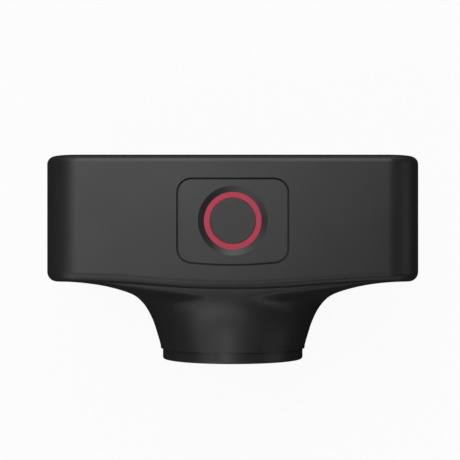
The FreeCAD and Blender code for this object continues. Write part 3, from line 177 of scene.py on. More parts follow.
class WebcamStageSettings(bpy.types.PropertyGroup):
    """The floor, the lamps and the camera."""

    floor_colour: colour_setting("Floor", "Colour of the floor under the camera",
                                 0.06, 0.06, 0.06)
    floor_glow: FloatProperty(name="Floor white", default=0.94, min=0,
                              description="How white the floor and backdrop look")
    front_reflection: share_setting("Front in reflections",
                                    "How bright gloss shows the floor in front", 0.01)
    side_reflection: share_setting("Sides in reflections",
                                   "How bright gloss shows the rest of the floor", 0.002)
    horizon_reflection: FloatProperty(name="Backdrop height", default=math.radians(15),
                                      subtype="ANGLE",
                                      description="How high the pale backdrop reaches")
    rear_power: lamp_setting("Rear lamp", "Behind the object", 0.84)
    rear_left_power: lamp_setting("Rear left lamp", "Behind the object, to the left", 0.28)
    high_rear_power: lamp_setting("High rear lamp", "High, behind the object", 0.24)
    high_left_power: lamp_setting("High left lamp", "The highest, a little to the left", 0.65)
    left_power: lamp_setting("Left lamp", "On the left, a little to the front", 0.25)
    front_left_power: lamp_setting("Front left lamp", "Low, at the front left", 0.28)
    front_power: lamp_setting("Front lamp", "Faces the lens end", 0.17)
    high_front_power: lamp_setting("High front lamp", "High, over the lens end", 0.18)
    right_power: lamp_setting("Right lamp", "Low, on the right", 0.10)
    ambient: FloatProperty(name="Ambient", default=0.02, min=0,
                           description="Strength of the even light from all round")
    camera_height: length_setting("Camera height", "Height of the camera over the floor", 0.342)
    camera_lens: FloatProperty(name="Focal length", default=89.6, min=1, unit="CAMERA",
                               description="Focal length in millimetres on a 36 mm sensor")


SETTINGS = {
    "webcam_shell": WebcamShellSettings,
    "webcam_optics": WebcamOpticsSettings,
    "webcam_inside": WebcamInsideSettings,
    "webcam_metal": WebcamMetalSettings,
    "webcam_stage": WebcamStageSettings,
}


# Shader groups that several materials share

# Where a Mix node keeps its two inputs and its result
MIX_SOCKETS = {"FLOAT": (2, 3, 0), "RGBA": (6, 7, 2)}
FINE_GRAIN_RATIO = 1.7
PEBBLE_SHARE = 0.55
ROUGHNESS_FLICKER = 0.02


def effect(name, inputs, outputs):
    """A new shader node group with named inputs and outputs, and its two ends."""
    group = bpy.data.node_groups.new(name, "ShaderNodeTree")
    for label, kind, default in inputs:
        socket = group.interface.new_socket(name=label, in_out="INPUT", socket_type=kind)
        if default is not None:
            socket.default_value = default
    for label, kind in outputs:
        group.interface.new_socket(name=label, in_out="OUTPUT", socket_type=kind)
    entry = group.nodes.new("NodeGroupInput")
    leave = group.nodes.new("NodeGroupOutput")
    return group, entry, leave


def join(tree, pairs):
    """Links in a node tree, each from an output socket to an input socket."""
    for source, target in pairs:
        tree.links.new(source, target)


def calculation(tree, operation, second=None):
    """A Math node, with its second number where that is known."""
    node = tree.nodes.new("ShaderNodeMath")
    node.operation = operation
    if second is not None:
        node.inputs[1].default_value = second
    return node


def spread(tree, low, high, new_low=0.0, new_high=1.0):
    """A Map Range node that spreads low to high over a new range."""
    node = tree.nodes.new("ShaderNodeMapRange")
    for label, number in (("From Min", low), ("From Max", high),
                          ("To Min", new_low), ("To Max", new_high)):
        node.inputs[label].default_value = number
    return node


def blend(tree, kind):
    """A Mix node's factor, its two inputs and its result, for numbers or for colours."""
    node = tree.nodes.new("ShaderNodeMix")
    node.data_type = kind
    first, second, result = MIX_SOCKETS[kind]
    return node.inputs[0], node.inputs[first], node.inputs[second], node.outputs[result]


def noise(tree, scale=None, detail=2.0, roughness=0.5):
    """A Noise Texture node."""
    node = tree.nodes.new("ShaderNodeTexNoise")
    node.inputs["Detail"].default_value = detail
    node.inputs["Roughness"].default_value = roughness
    if scale is not None:
        node.inputs["Scale"].default_value = scale
    return node


def moulded_grain():
    """The fine pebbled texture that an eroded mould leaves."""
    group, entry, leave = effect(
        "Moulded grain",
        [("Vector", "NodeSocketVector", None), ("Grains per metre", "NodeSocketFloat", 5000.0)],
        [("Height", "NodeSocketFloat"), ("Speck", "NodeSocketFloat")])
    pebbles = group.nodes.new("ShaderNodeTexVoronoi")
    pebbles.feature = "SMOOTH_F1"
    pebbles.inputs["Smoothness"].default_value = 0.6
    fine = noise(group, detail=3.0, roughness=0.65)
    finer = calculation(group, "MULTIPLY", second=FINE_GRAIN_RATIO)
    height = calculation(group, "MULTIPLY_ADD", second=PEBBLE_SHARE)
    speck = spread(group, 0.35, 0.65)
    join(group, [
        (entry.outputs["Vector"], pebbles.inputs["Vector"]),
        (entry.outputs["Vector"], fine.inputs["Vector"]),
        (entry.outputs["Grains per metre"], pebbles.inputs["Scale"]),
        (entry.outputs["Grains per metre"], finer.inputs[0]),
        (finer.outputs[0], fine.inputs["Scale"]),
        (pebbles.outputs["Distance"], height.inputs[0]),
        (fine.outputs["Fac"], height.inputs[2]),
        (height.outputs[0], leave.inputs["Height"]),
        (fine.outputs["Fac"], speck.inputs["Value"]),
        (speck.outputs["Result"], leave.inputs["Speck"]),
    ])
    return group


def slow_drift():
    """Colour that drifts a little between two tones over the surface."""
    group, entry, leave = effect(
        "Slow drift",
        [("Vector", "NodeSocketVector", None), ("Patches per metre", "NodeSocketFloat", 60.0),
         ("Tone", "NodeSocketColor", (0.5, 0.5, 0.5, 1.0)),
         ("Other tone", "NodeSocketColor", (0.5, 0.5, 0.5, 1.0)),
         ("Speck", "NodeSocketFloat", 0.5), ("Speck share", "NodeSocketFloat", 0.3)],
        [("Colour", "NodeSocketColor")])
    patches = noise(group, detail=4.0, roughness=0.55)
    even = spread(group, 0.3, 0.7)
    dots = calculation(group, "MULTIPLY")
    both = calculation(group, "ADD")
    both.use_clamp = True
    share, tone, other, mixed = blend(group, "RGBA")
    join(group, [
        (entry.outputs["Vector"], patches.inputs["Vector"]),
        (entry.outputs["Patches per metre"], patches.inputs["Scale"]),
        (patches.outputs["Fac"], even.inputs["Value"]),
        (entry.outputs["Speck"], dots.inputs[0]),
        (entry.outputs["Speck share"], dots.inputs[1]),
        (even.outputs["Result"], both.inputs[0]),
        (dots.outputs[0], both.inputs[1]),
        (both.outputs[0], share),
        (entry.outputs["Tone"], tone),
        (entry.outputs["Other tone"], other),
        (mixed, leave.inputs["Colour"]),
    ])
    return group


def rubbed_gloss():
    """Roughness that falls where hands have polished the surface."""
    group, entry, leave = effect(
        "Rubbed gloss",
        [("Vector", "NodeSocketVector", None), ("Patches per metre", "NodeSocketFloat", 40.0),
         ("Matt", "NodeSocketFloat", 0.6), ("Rubbed", "NodeSocketFloat", 0.45),
         ("Speck", "NodeSocketFloat", 0.5)],
        [("Roughness", "NodeSocketFloat")])
    patches = noise(group, detail=5.0, roughness=0.6)
    worn = spread(group, 0.42, 0.68)
    share, matt, rubbed, between = blend(group, "FLOAT")
    flicker = spread(group, 0.0, 1.0, -ROUGHNESS_FLICKER, ROUGHNESS_FLICKER)
    total = calculation(group, "ADD")
    join(group, [
        (entry.outputs["Vector"], patches.inputs["Vector"]),
        (entry.outputs["Patches per metre"], patches.inputs["Scale"]),
        (patches.outputs["Fac"], worn.inputs["Value"]),
        (worn.outputs["Result"], share),
        (entry.outputs["Matt"], matt),
        (entry.outputs["Rubbed"], rubbed),
        (between, total.inputs[0]),
        (entry.outputs["Speck"], flicker.inputs["Value"]),
        (flicker.outputs["Result"], total.inputs[1]),
        (total.outputs[0], leave.inputs["Roughness"]),
    ])
    return group


def shared(name, make):
    """A shader group by its name, made when it is first asked for."""
    return bpy.data.node_groups.get(name) or make()


# Materials

RUBBED_SMOOTHER = 0.05
COATING_IOR = 1.38
SMEAR_ROUGHNESS = 0.05
GUIDE_SCATTER = (0.0006, 0.0002, 0.0002)
GUIDE_GRAIN_DEPTH = 0.000002
TRACKS_PER_METRE = 420.0
TRACK_HEIGHT = 0.00003
TRACK_TONE = 0.9
VIA_RADII = (0.13, 0.16)
GOLD = (0.75, 0.52, 0.20, 1.0)
RIB_PITCH = 0.001
RIB_HEIGHT = 0.00012
GRAIN_ON_RIBS = 0.12
THREAD_DEPTH = 0.0006
THREAD_REACH = 1.15


def start_material(name):
    """A material with a Principled shader, and the object's own coordinates."""
    material = bpy.data.materials.new(name)
    material.use_nodes = True
    tree = material.node_tree
    tree.nodes.clear()
    output = tree.nodes.new("ShaderNodeOutputMaterial")
    shader = tree.nodes.new("ShaderNodeBsdfPrincipled")
    place = tree.nodes.new("ShaderNodeTexCoord")
    join(tree, [(shader.outputs[0], output.inputs["Surface"])])
    return material, tree, shader, place.outputs["Object"]


def use(tree, name, make, vector, **numbers):
    """A shared group placed in a material with its own values."""
    node = tree.nodes.new("ShaderNodeGroup")
    node.node_tree = shared(name, make)
    tree.links.new(vector, node.inputs["Vector"])
    for label, number in numbers.items():
        node.inputs[label.replace("_", " ")].default_value = number
    return node


def bump(tree, shader, height, depth):
    """A Bump node that lifts the surface by a real depth in metres."""
    node = tree.nodes.new("ShaderNodeBump")
    node.inputs["Strength"].default_value = 1.0
    node.inputs["Distance"].default_value = depth
    join(tree, [
        (height, node.inputs["Height"]),
        (node.outputs["Normal"], shader.inputs["Normal"]),
    ])


def toned(colour, share):
    """A colour made lighter or darker by a share."""
    return tuple(min(1.0, part * (1 + share)) for part in colour[:3]) + (1.0,)


def grained(name, colour, roughness, size, depth, drift=0.05, specular=0.5, metallic=0.0,
            stretch=None):
    """A moulded, cast or ground surface: drifting colour, fine grain and rubbed gloss."""
    material, tree, shader, place = start_material(name)
    if stretch is not None:
        mapping = tree.nodes.new("ShaderNodeMapping")
        mapping.inputs["Scale"].default_value = stretch
        tree.links.new(place, mapping.inputs["Vector"])
        place = mapping.outputs["Vector"]
    grain = use(tree, "Moulded grain", moulded_grain, place, Grains_per_metre=1 / size)
    drifting = use(tree, "Slow drift", slow_drift, place, Patches_per_metre=70.0,
                   Tone=toned(colour, -drift), Other_tone=toned(colour, drift),
                   Speck_share=0.3)
    gloss = use(tree, "Rubbed gloss", rubbed_gloss, place, Patches_per_metre=45.0,
                Matt=roughness, Rubbed=roughness - RUBBED_SMOOTHER)
    join(tree, [
        (grain.outputs["Speck"], drifting.inputs["Speck"]),
        (grain.outputs["Speck"], gloss.inputs["Speck"]),
        (drifting.outputs["Colour"], shader.inputs["Base Color"]),
        (gloss.outputs["Roughness"], shader.inputs["Roughness"]),
    ])
    shader.inputs["Specular IOR Level"].default_value = specular
    shader.inputs["Metallic"].default_value = metallic
    bump(tree, shader, grain.outputs["Height"], depth)
    return material


def clear_glass(name, tint, ior, film):
    """Coated glass with a faint smear."""
    material, tree, shader, place = start_material(name)
    smear = noise(tree, scale=120.0, detail=4.0)
    rough = spread(tree, 0.4, 0.8, new_high=SMEAR_ROUGHNESS)
    drifting = use(tree, "Slow drift", slow_drift, place, Patches_per_metre=30.0,
                   Tone=toned(tint, -0.02), Other_tone=toned(tint, 0.02), Speck_share=0.0)
    join(tree, [
        (place, smear.inputs["Vector"]),
        (smear.outputs["Fac"], rough.inputs["Value"]),
        (rough.outputs["Result"], shader.inputs["Roughness"]),
        (drifting.outputs["Colour"], shader.inputs["Base Color"]),
    ])
    shader.inputs["Transmission Weight"].default_value = 1.0
    shader.inputs["IOR"].default_value = ior
    shader.inputs["Thin Film Thickness"].default_value = film
    shader.inputs["Thin Film IOR"].default_value = COATING_IOR
    return material


def lit_plastic(name, colour, glow, strength):
    """Translucent red plastic of the light ring, cloudy inside and satin on top."""
    material, tree, shader, place = start_material(name)
    grain = use(tree, "Moulded grain", moulded_grain, place, Grains_per_metre=9000.0)
    cloudy = use(tree, "Slow drift", slow_drift, place, Patches_per_metre=160.0,
                 Tone=toned(colour, -0.07), Other_tone=toned(colour, 0.07), Speck_share=0.2)
    gloss = use(tree, "Rubbed gloss", rubbed_gloss, place, Patches_per_metre=90.0,
                Matt=0.5, Rubbed=0.42)
    join(tree, [
        (grain.outputs["Speck"], cloudy.inputs["Speck"]),
        (grain.outputs["Speck"], gloss.inputs["Speck"]),
        (cloudy.outputs["Colour"], shader.inputs["Base Color"]),
        (gloss.outputs["Roughness"], shader.inputs["Roughness"]),
    ])
    shader.inputs["Subsurface Weight"].default_value = 0.15
    shader.inputs["Subsurface Radius"].default_value = GUIDE_SCATTER
    shader.inputs["Specular IOR Level"].default_value = 0.2
    shader.inputs["Emission Color"].default_value = glow
    shader.inputs["Emission Strength"].default_value = strength
    bump(tree, shader, grain.outputs["Height"], GUIDE_GRAIN_DEPTH)
    return material


def laminate(name, colour):
    """Green laminate with raised tracks under the resist and gold vias."""
    material, tree, shader, place = start_material(name)
    grain = use(tree, "Moulded grain", moulded_grain, place, Grains_per_metre=6000.0)
    drifting = use(tree, "Slow drift", slow_drift, place, Patches_per_metre=90.0,
                   Tone=toned(colour, -0.1), Other_tone=toned(colour, 0.1), Speck_share=0.2)
    tracks = tree.nodes.new("ShaderNodeTexBrick")
    tracks.inputs["Scale"].default_value = TRACKS_PER_METRE
    tracks.inputs["Mortar Size"].default_value = 0.035
    tracks.inputs["Mortar Smooth"].default_value = 0.2
    tracks.inputs["Brick Width"].default_value = 2.6
    tracks.inputs["Row Height"].default_value = 0.31
    vias = tree.nodes.new("ShaderNodeTexVoronoi")
    vias.inputs["Scale"].default_value = TRACKS_PER_METRE
    dots = spread(tree, *VIA_RADII, new_low=1.0, new_high=0.0)
    on_track, between, track, resist = blend(tree, "RGBA")
    track.default_value = toned(colour, TRACK_TONE)
    on_via, covered, via, surface = blend(tree, "RGBA")
    via.default_value = GOLD
    rough = spread(tree, 0.0, 1.0, 0.38, 0.22)
    join(tree, [
        (grain.outputs["Speck"], drifting.inputs["Speck"]),
        (place, tracks.inputs["Vector"]),
        (place, vias.inputs["Vector"]),
        (vias.outputs["Distance"], dots.inputs["Value"]),
        (tracks.outputs["Fac"], on_track),
        (drifting.outputs["Colour"], between),
        (resist, covered),
        (dots.outputs["Result"], on_via),
        (surface, shader.inputs["Base Color"]),
        (dots.outputs["Result"], shader.inputs["Metallic"]),
        (dots.outputs["Result"], rough.inputs["Value"]),
        (rough.outputs["Result"], shader.inputs["Roughness"]),
    ])
    bump(tree, shader, tracks.outputs["Fac"], TRACK_HEIGHT)
    return material


def ribbed_rubber(name, colour):
    """Rubber with fine ribs across the pad."""
    material, tree, shader, place = start_material(name)
    grain = use(tree, "Moulded grain", moulded_grain, place, Grains_per_metre=4500.0)
    drifting = use(tree, "Slow drift", slow_drift, place, Patches_per_metre=80.0,
                   Tone=toned(colour, -0.12), Other_tone=toned(colour, 0.2), Speck_share=0.4)
    gloss = use(tree, "Rubbed gloss", rubbed_gloss, place, Patches_per_metre=60.0,
                Matt=0.78, Rubbed=0.6)
    ribs = tree.nodes.new("ShaderNodeTexWave")
    ribs.bands_direction = "X"
    ribs.inputs["Scale"].default_value = math.pi / (10 * RIB_PITCH)
    ribs.inputs["Distortion"].default_value = 0.0
    heights = calculation(tree, "MULTIPLY_ADD", second=GRAIN_ON_RIBS)
    join(tree, [
        (grain.outputs["Speck"], drifting.inputs["Speck"]),
        (grain.outputs["Speck"], gloss.inputs["Speck"]),
        (drifting.outputs["Colour"], shader.inputs["Base Color"]),
        (gloss.outputs["Roughness"], shader.inputs["Roughness"]),
        (place, ribs.inputs["Vector"]),
        (grain.outputs["Height"], heights.inputs[0]),
        (ribs.outputs["Fac"], heights.inputs[2]),
    ])
    bump(tree, shader, heights.outputs[0], RIB_HEIGHT)
    return material


def threaded_brass(name, colour, axis, bore_radius, pitch):
    """Turned brass, with a thread's ridge winding up the wall of its bore."""
    material, tree, shader, place = start_material(name)
    drifting = use(tree, "Slow drift", slow_drift, place, Patches_per_metre=120.0,
                   Tone=toned(colour, -0.1), Other_tone=toned(colour, 0.05), Speck_share=0.0)
    gloss = use(tree, "Rubbed gloss", rubbed_gloss, place, Patches_per_metre=150.0,
                Matt=0.34, Rubbed=0.2)
    centred = tree.nodes.new("ShaderNodeMapping")
    centred.inputs["Location"].default_value = (-axis[0], -axis[1], 0.0)
    parts = tree.nodes.new("ShaderNodeSeparateXYZ")
    turn = calculation(tree, "ARCTAN2")
    share = calculation(tree, "DIVIDE", second=2 * math.pi)
    climb = calculation(tree, "DIVIDE", second=pitch)
    total = calculation(tree, "ADD")
    ridge = calculation(tree, "PINGPONG", second=0.5)
    x_squared = calculation(tree, "MULTIPLY")
    y_squared = calculation(tree, "MULTIPLY")
    reach = calculation(tree, "ADD")
    inside = calculation(tree, "LESS_THAN", second=(bore_radius * THREAD_REACH) ** 2)
    shown = calculation(tree, "MULTIPLY")
    join(tree, [
        (place, centred.inputs["Vector"]),
        (centred.outputs["Vector"], parts.inputs["Vector"]),
        (parts.outputs["Y"], turn.inputs[0]),
        (parts.outputs["X"], turn.inputs[1]),
        (turn.outputs[0], share.inputs[0]),
        (parts.outputs["Z"], climb.inputs[0]),
        (share.outputs[0], total.inputs[0]),
        (climb.outputs[0], total.inputs[1]),
        (total.outputs[0], ridge.inputs[0]),
        (parts.outputs["X"], x_squared.inputs[0]),
        (parts.outputs["X"], x_squared.inputs[1]),
        (parts.outputs["Y"], y_squared.inputs[0]),
        (parts.outputs["Y"], y_squared.inputs[1]),
        (x_squared.outputs[0], reach.inputs[0]),
        (y_squared.outputs[0], reach.inputs[1]),
        (reach.outputs[0], inside.inputs[0]),
        (ridge.outputs[0], shown.inputs[0]),
        (inside.outputs[0], shown.inputs[1]),
        (drifting.outputs["Colour"], shader.inputs["Base Color"]),
        (gloss.outputs["Roughness"], shader.inputs["Roughness"]),
    ])
    shader.inputs["Metallic"].default_value = 1.0
    bump(tree, shader, shown.outputs[0], THREAD_DEPTH)
    return material


# Putting materials and pieces on the frame

WELD_DISTANCE = 2e-6


def dress(nodes, material):
    """Give CAD nodes a finished material."""
    for node in nodes:
        mesh = frame["nodes"][node].data
        if not mesh.materials:
            mesh.materials.append(material)
        for index in range(len(mesh.materials)):
            mesh.materials[index] = material


def clean_copy(node, crease):
    """A bmesh of a CAD node with its loose triangles joined and its sharp edges marked."""
    form = bmesh.new()
    form.from_mesh(frame["nodes"][node].data)
    bmesh.ops.remove_doubles(form, verts=form.verts, dist=WELD_DISTANCE)
    for face in form.faces:
        face.smooth = True
        face.material_index = 0
    for edge in form.edges:
        edge.smooth = len(edge.link_faces) == 2 and edge.calc_face_angle() < crease
    return form


def place_piece(form, name, body, material, replaced):
    """Turn a bmesh into a piece that rides on a body of the frame."""
    mesh = bpy.data.meshes.new(name)
    form.to_mesh(mesh)
    form.free()
    normals = mesh.attributes.get("custom_normal")
    if normals is not None:
        mesh.attributes.remove(normals)
    mesh.materials.append(material)
    made = bpy.data.objects.new(name, mesh)
    bpy.context.scene.collection.objects.link(made)
    even = made.modifiers.new("Even normals", "WEIGHTED_NORMAL")
    even.keep_sharp = True
    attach(made, body)
    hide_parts(*replaced)


def smooth_piece(node, name, material, crease):
    """A CAD node shown by a joined copy of itself, which shades smoothly."""
    body = frame["nodes"][node]["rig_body"]
    place_piece(clean_copy(node, crease), name, body, material, [node])


def shell_plastic(name, shell, colour, size=1.0, depth=1.0, duller=0.0):
    """The moulded plastic of the outside, its grain given as a share of the usual one."""
    return grained(name, colour, shell.roughness + duller, shell.grain_size * size,
                   shell.grain_depth * depth, specular=shell.shine)


# Operators, one for each piece or group of like pieces

WINDOW_IOR = 1.49
LENS_IOR = 1.62
FILTER_IOR = 1.52


class WEBCAM_OT_shell(bpy.types.Operator):
    """Dress the housing and the front cover."""

    bl_idname = "webcam.shell"
    bl_label = "Housing and front cover"

    def execute(self, context):
        shell = context.scene.webcam_shell
        plastic = shell_plastic("Housing plastic", shell, shell.housing_colour)
        smooth_piece("main_housing", "housing_shell", plastic,
                     shell.crease_angle)
        smooth_piece("front_cover", "bell_cover", plastic, shell.crease_angle)
        return {"FINISHED"}


class WEBCAM_OT_optics(bpy.types.Operator):
    """Dress the trim ring, the window, the lens and the heat filter."""

    bl_idname = "webcam.optics"
    bl_label = "Lens end"

    def execute(self, context):
        shell = context.scene.webcam_shell
        optics = context.scene.webcam_optics
        trim = shell_plastic("Trim plastic", shell, shell.trim_colour, size=0.8, depth=0.7,
                             duller=-0.05)
        smooth_piece("lens_ring", "trim_ring", trim, shell.crease_angle)
        coating = optics.coating_thickness
        window = clear_glass("Window glass", optics.window_tint, WINDOW_IOR, coating)
        smooth_piece("lens_window", "front_window", window, shell.crease_angle)
        dress(["front_lens", "middle_lens", "rear_lens"],
              clear_glass("Lens glass", optics.glass_tint, LENS_IOR, coating * 0.8))
        dress(["ir_filter"],
              clear_glass("Filter glass", optics.filter_tint, FILTER_IOR, coating * 1.3))
        dress(["lens_baffle", "lens_barrel", "lens_holder"],
              grained("Optics black", optics.black, roughness=0.75, size=0.0003, depth=0.00001,
                      specular=0.3))
        return {"FINISHED"}


class WEBCAM_OT_controls(bpy.types.Operator):
    """Dress the control panel, its light ring and the two buttons."""

    bl_idname = "webcam.controls"
    bl_label = "Control panel"

    def execute(self, context):
        shell = context.scene.webcam_shell
        panel = shell_plastic("Panel plastic", shell, shell.panel_colour, size=1.2, depth=1.6)
        smooth_piece("control_panel", "control_plate", panel,
                     shell.panel_crease_angle)
        light = lit_plastic("Light guide", shell.light_colour, shell.glow_colour, shell.glow)
        smooth_piece("light_ring", "red_light_ring", light,
                     shell.panel_crease_angle)
        button = shell_plastic("Button plastic", shell, shell.button_colour, depth=0.8,
                               duller=0.03)
        smooth_piece("record_button", "record_cap", button,
                     shell.panel_crease_angle)
        smooth_piece("power_button", "power_cap", button,
                     shell.panel_crease_angle)
        return {"FINISHED"}


class WEBCAM_OT_boards(bpy.types.Operator):
    """Dress the boards, chips, films, cell and foam inside."""

    bl_idname = "webcam.boards"
    bl_label = "Electronics"

    def execute(self, context):
        inside = context.scene.webcam_inside
        dress(["sensor_board", "button_board", "main_board", "io_board", "microphone_boards"],
              laminate("Circuit board", inside.board_colour))
        dress(["image_sensor", "main_processor", "memory_chips", "sensor_connector",
               "record_switch", "power_switch", "ring_leds"],
              grained("Chip package", inside.chip_colour, roughness=0.55, size=0.00012,
                      depth=0.000003))
        dress(["button_flex", "io_flex", "antenna"],
              grained("Flexible circuit", inside.film_colour, roughness=0.3, size=0.0004,
                      depth=0.000002, drift=0.12, stretch=(8.0, 8.0, 0.6)))
        dress(["battery_pack"],
              grained("Cell foil", inside.cell_colour, roughness=0.36, size=0.0012,
                      depth=0.00002, metallic=0.85, drift=0.04))
        dress(["battery_tape", "panel_gasket", "microphone_gaskets", "thermal_pad"],
              grained("Soft foam", inside.foam_colour, roughness=0.9, size=0.0004,
                      depth=0.00012, drift=0.2, specular=0.2))
        return {"FINISHED"}


class WEBCAM_OT_metal(bpy.types.Operator):
    """Dress the ports, the screws, the heat spreader, the nut and the foot."""

    bl_idname = "webcam.metal"
    bl_label = "Ports, fixings and foot"

    def execute(self, context):
        metal = context.scene.webcam_metal
        dress(["wireless_module", "usb_c_port", "memory_card_slot", "microphones"],
              grained("Nickel plating", metal.plated_colour, roughness=0.3, size=0.0002,
                      depth=0.000002, metallic=1.0, drift=0.03))
        dress(["sensor_screws", "sensor_standoffs", "panel_screws", "board_screws",
               "spreader_screws", "io_screws", "housing_screws"],
              grained("Blackened steel", metal.steel_colour, roughness=0.36, size=0.00015,
                      depth=0.000003, metallic=0.9, drift=0.1))
        dress(["heat_spreader"],
              grained("Rolled aluminium", metal.spreader_colour, roughness=0.34, size=0.0003,
                      depth=0.000004, metallic=1.0, drift=0.03, stretch=(0.06, 1.0, 1.0)))
        middle = sum(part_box("tripod_nut"), Vector()) / 2
        mount = next(mount for mount in frame["record"]["mounts"]
                     if mount["name"] == "tripod_thread")
        bore_radius = mount["dims"]["r_mm"] / 1000
        dress(["tripod_nut"], threaded_brass("Turned brass", metal.brass_colour, middle,
                                             bore_radius, metal.thread_pitch))
        dress(["foot_pad"], ribbed_rubber("Foot rubber", metal.rubber_colour))
        return {"FINISHED"}


# Stage

LAMP_TARGET = Vector((0, 0, 0.05))
LAMP_DISTANCE = 0.6
LAMP_SIZE = 0.35
LAMPS = (
    ("Rear lamp", 90, 45, "rear_power"),
    ("Rear left lamp", 135, 45, "rear_left_power"),
    ("High rear lamp", 90, 60, "high_rear_power"),
    ("High left lamp", 135, 74, "high_left_power"),
    ("Left lamp", 210, 45, "left_power"),
    ("Front left lamp", 240, 33, "front_left_power"),
    ("Front lamp", 255, 45, "front_power"),
    ("High front lamp", 270, 60, "high_front_power"),
    ("Right lamp", 0, 18, "right_power"),
)
FLOOR_HALF_SIZE = 2.0
FLOOR_ROUGHNESS = 0.9
FRONT_FLOOR_START = -0.06
FRONT_FLOOR_END = -0.04
BACKDROP_SOFTNESS = 0.1
SENSOR_WIDTH = 36.0
CAMERA_SHIFT_X = -0.00593
CAMERA_SHIFT_Y = 0.0663


def area_lamp(name, round_z, height, power):
    """A square soft lamp that faces the object, placed by two angles in degrees."""
    light = bpy.data.lights.new(name, "AREA")
    light.shape = "SQUARE"
    light.size = LAMP_SIZE
    light.energy = power
    turned, raised = math.radians(round_z), math.radians(height)
    away = Vector((math.cos(turned) * math.cos(raised), math.sin(turned) * math.cos(raised),
                   math.sin(raised)))
    lamp = bpy.data.objects.new(name, light)
    lamp.location = LAMP_TARGET + away * LAMP_DISTANCE
    lamp.rotation_euler = away.to_track_quat("Z", "Y").to_euler()
    lamp.visible_camera = False
    bpy.context.scene.collection.objects.link(lamp)


def seen_directly(tree, share):
    """One for what the camera or clear glass sees, and a share of it in reflections."""
    path = tree.nodes.new("ShaderNodeLightPath")
    dimmed = calculation(tree, "MULTIPLY")
    first = calculation(tree, "MAXIMUM")
    both = calculation(tree, "MAXIMUM")
    join(tree, [
        (path.outputs["Is Glossy Ray"], dimmed.inputs[0]),
        (share, dimmed.inputs[1]),
        (path.outputs["Is Camera Ray"], first.inputs[0]),
        (path.outputs["Is Transmission Ray"], first.inputs[1]),
        (first.outputs[0], both.inputs[0]),
        (dimmed.outputs[0], both.inputs[1]),
    ])
    return both.outputs[0]


def floor_material(stage):
    """A pale floor that looks white and still takes the object's shadow."""
    material, tree, shader, place = start_material("Pale floor")
    cloudy = use(tree, "Slow drift", slow_drift, place, Patches_per_metre=6.0,
                 Tone=toned(stage.floor_colour, -0.02), Other_tone=toned(stage.floor_colour, 0.02),
                 Speck_share=0.0)
    glow = calculation(tree, "MULTIPLY", second=stage.floor_glow)
    spot = tree.nodes.new("ShaderNodeSeparateXYZ")
    share = spread(tree, FRONT_FLOOR_START, FRONT_FLOOR_END, stage.front_reflection,
                   stage.side_reflection)
    join(tree, [
        (cloudy.outputs["Colour"], shader.inputs["Base Color"]),
        (place, spot.inputs["Vector"]),
        (spot.outputs["Y"], share.inputs["Value"]),
        (seen_directly(tree, share.outputs["Result"]), glow.inputs[0]),
        (glow.outputs[0], shader.inputs["Emission Strength"]),
    ])
    shader.inputs["Emission Color"].default_value = (1.0, 1.0, 1.0, 1.0)
    shader.inputs["Roughness"].default_value = FLOOR_ROUGHNESS
    shader.inputs["Specular IOR Level"].default_value = 0.0
    return material


def white_surroundings(stage):
    """A world that is white to the eye and lights the object only a little."""
    world = bpy.data.worlds.new("Studio")
    world.use_nodes = True
    tree = world.node_tree
    tree.nodes.clear()
    output = tree.nodes.new("ShaderNodeOutputWorld")
    dim = tree.nodes.new("ShaderNodeBackground")
    dim.inputs["Strength"].default_value = stage.ambient
    white = tree.nodes.new("ShaderNodeBackground")
    white.inputs["Strength"].default_value = 1.0
    mixed = tree.nodes.new("ShaderNodeMixShader")
    direction = tree.nodes.new("ShaderNodeTexCoord")
    parts = tree.nodes.new("ShaderNodeSeparateXYZ")
    rim = math.sin(stage.horizon_reflection)
    backdrop = spread(tree, rim - BACKDROP_SOFTNESS, rim + BACKDROP_SOFTNESS, 1.0, 0.0)
    away = calculation(tree, "ABSOLUTE")
    ends = spread(tree, 0.6, 0.9, new_low=0.05)
    pale = calculation(tree, "MULTIPLY")
    join(tree, [
        (direction.outputs["Generated"], parts.inputs["Vector"]),
        (parts.outputs["Z"], backdrop.inputs["Value"]),
        (parts.outputs["Y"], away.inputs[0]),
        (away.outputs[0], ends.inputs["Value"]),
        (backdrop.outputs["Result"], pale.inputs[0]),
        (ends.outputs["Result"], pale.inputs[1]),
        (seen_directly(tree, pale.outputs[0]), mixed.inputs["Fac"]),
        (dim.outputs[0], mixed.inputs[1]),
        (white.outputs[0], mixed.inputs[2]),
        (mixed.outputs[0], output.inputs["Surface"]),
    ])
    bpy.context.scene.world = world


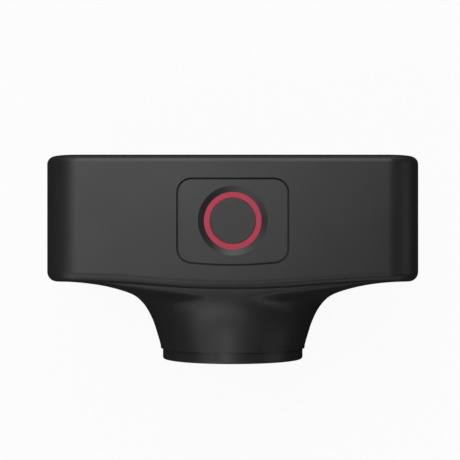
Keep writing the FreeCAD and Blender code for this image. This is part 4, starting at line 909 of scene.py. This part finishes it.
class WEBCAM_OT_stage(bpy.types.Operator):
    """Set the floor, the surroundings, the lamps and the camera."""

    bl_idname = "webcam.stage"
    bl_label = "Stage"

    def execute(self, context):
        stage = context.scene.webcam_stage
        low, high = Vector(cad_box[0]), Vector(cad_box[1])
        form = bmesh.new()
        bmesh.ops.create_grid(form, x_segments=1, y_segments=1, size=FLOOR_HALF_SIZE)
        mesh = bpy.data.meshes.new("floor")
        form.to_mesh(mesh)
        form.free()
        mesh.materials.append(floor_material(stage))
        floor = bpy.data.objects.new("floor", mesh)
        context.scene.collection.objects.link(floor)
        white_surroundings(stage)
        for name, round_z, height, setting in LAMPS:
            area_lamp(name, round_z, height, getattr(stage, setting))
        camera_data = bpy.data.cameras.new("Photo camera")
        camera_data.sensor_width = SENSOR_WIDTH
        camera_data.lens = stage.camera_lens
        camera_data.shift_x = CAMERA_SHIFT_X
        camera_data.shift_y = CAMERA_SHIFT_Y
        camera = bpy.data.objects.new("Photo camera", camera_data)
        camera.location = (0.0, (low.y + high.y) / 2, stage.camera_height)
        context.scene.collection.objects.link(camera)
        context.scene.camera = camera
        context.scene.view_settings.view_transform = "Standard"
        return {"FINISHED"}


OPERATORS = (WEBCAM_OT_shell, WEBCAM_OT_optics, WEBCAM_OT_controls, WEBCAM_OT_boards,
             WEBCAM_OT_metal, WEBCAM_OT_stage)


class WEBCAM_PT_sidebar(bpy.types.Panel):
    """The webcam's pieces and settings, in the 3D view's sidebar."""

    bl_idname = "WEBCAM_PT_sidebar"
    bl_label = "Streaming webcam"
    bl_space_type = "VIEW_3D"
    bl_region_type = "UI"
    bl_category = "Webcam"

    def draw(self, context):
        for operator in OPERATORS:
            self.layout.operator(operator.bl_idname)
        for name in SETTINGS:
            box = self.layout.box()
            group = getattr(context.scene, name)
            for setting in group.bl_rna.properties.keys():
                if setting not in ("rna_type", "name"):
                    box.prop(group, setting)


def register():
    for name, group in SETTINGS.items():
        bpy.utils.register_class(group)
        setattr(bpy.types.Scene, name, PointerProperty(type=group))
    for operator in OPERATORS:
        bpy.utils.register_class(operator)
    bpy.utils.register_class(WEBCAM_PT_sidebar)


def unregister():
    bpy.utils.unregister_class(WEBCAM_PT_sidebar)
    for operator in reversed(OPERATORS):
        bpy.utils.unregister_class(operator)
    for name, group in SETTINGS.items():
        delattr(bpy.types.Scene, name)
        bpy.utils.unregister_class(group)


def main():
    register()
    for step in (bpy.ops.webcam.shell, bpy.ops.webcam.optics, bpy.ops.webcam.controls,
                 bpy.ops.webcam.boards, bpy.ops.webcam.metal, bpy.ops.webcam.stage):
        step()
    bpy.context.view_layer.update()


if __name__ == "__main__":
    main()
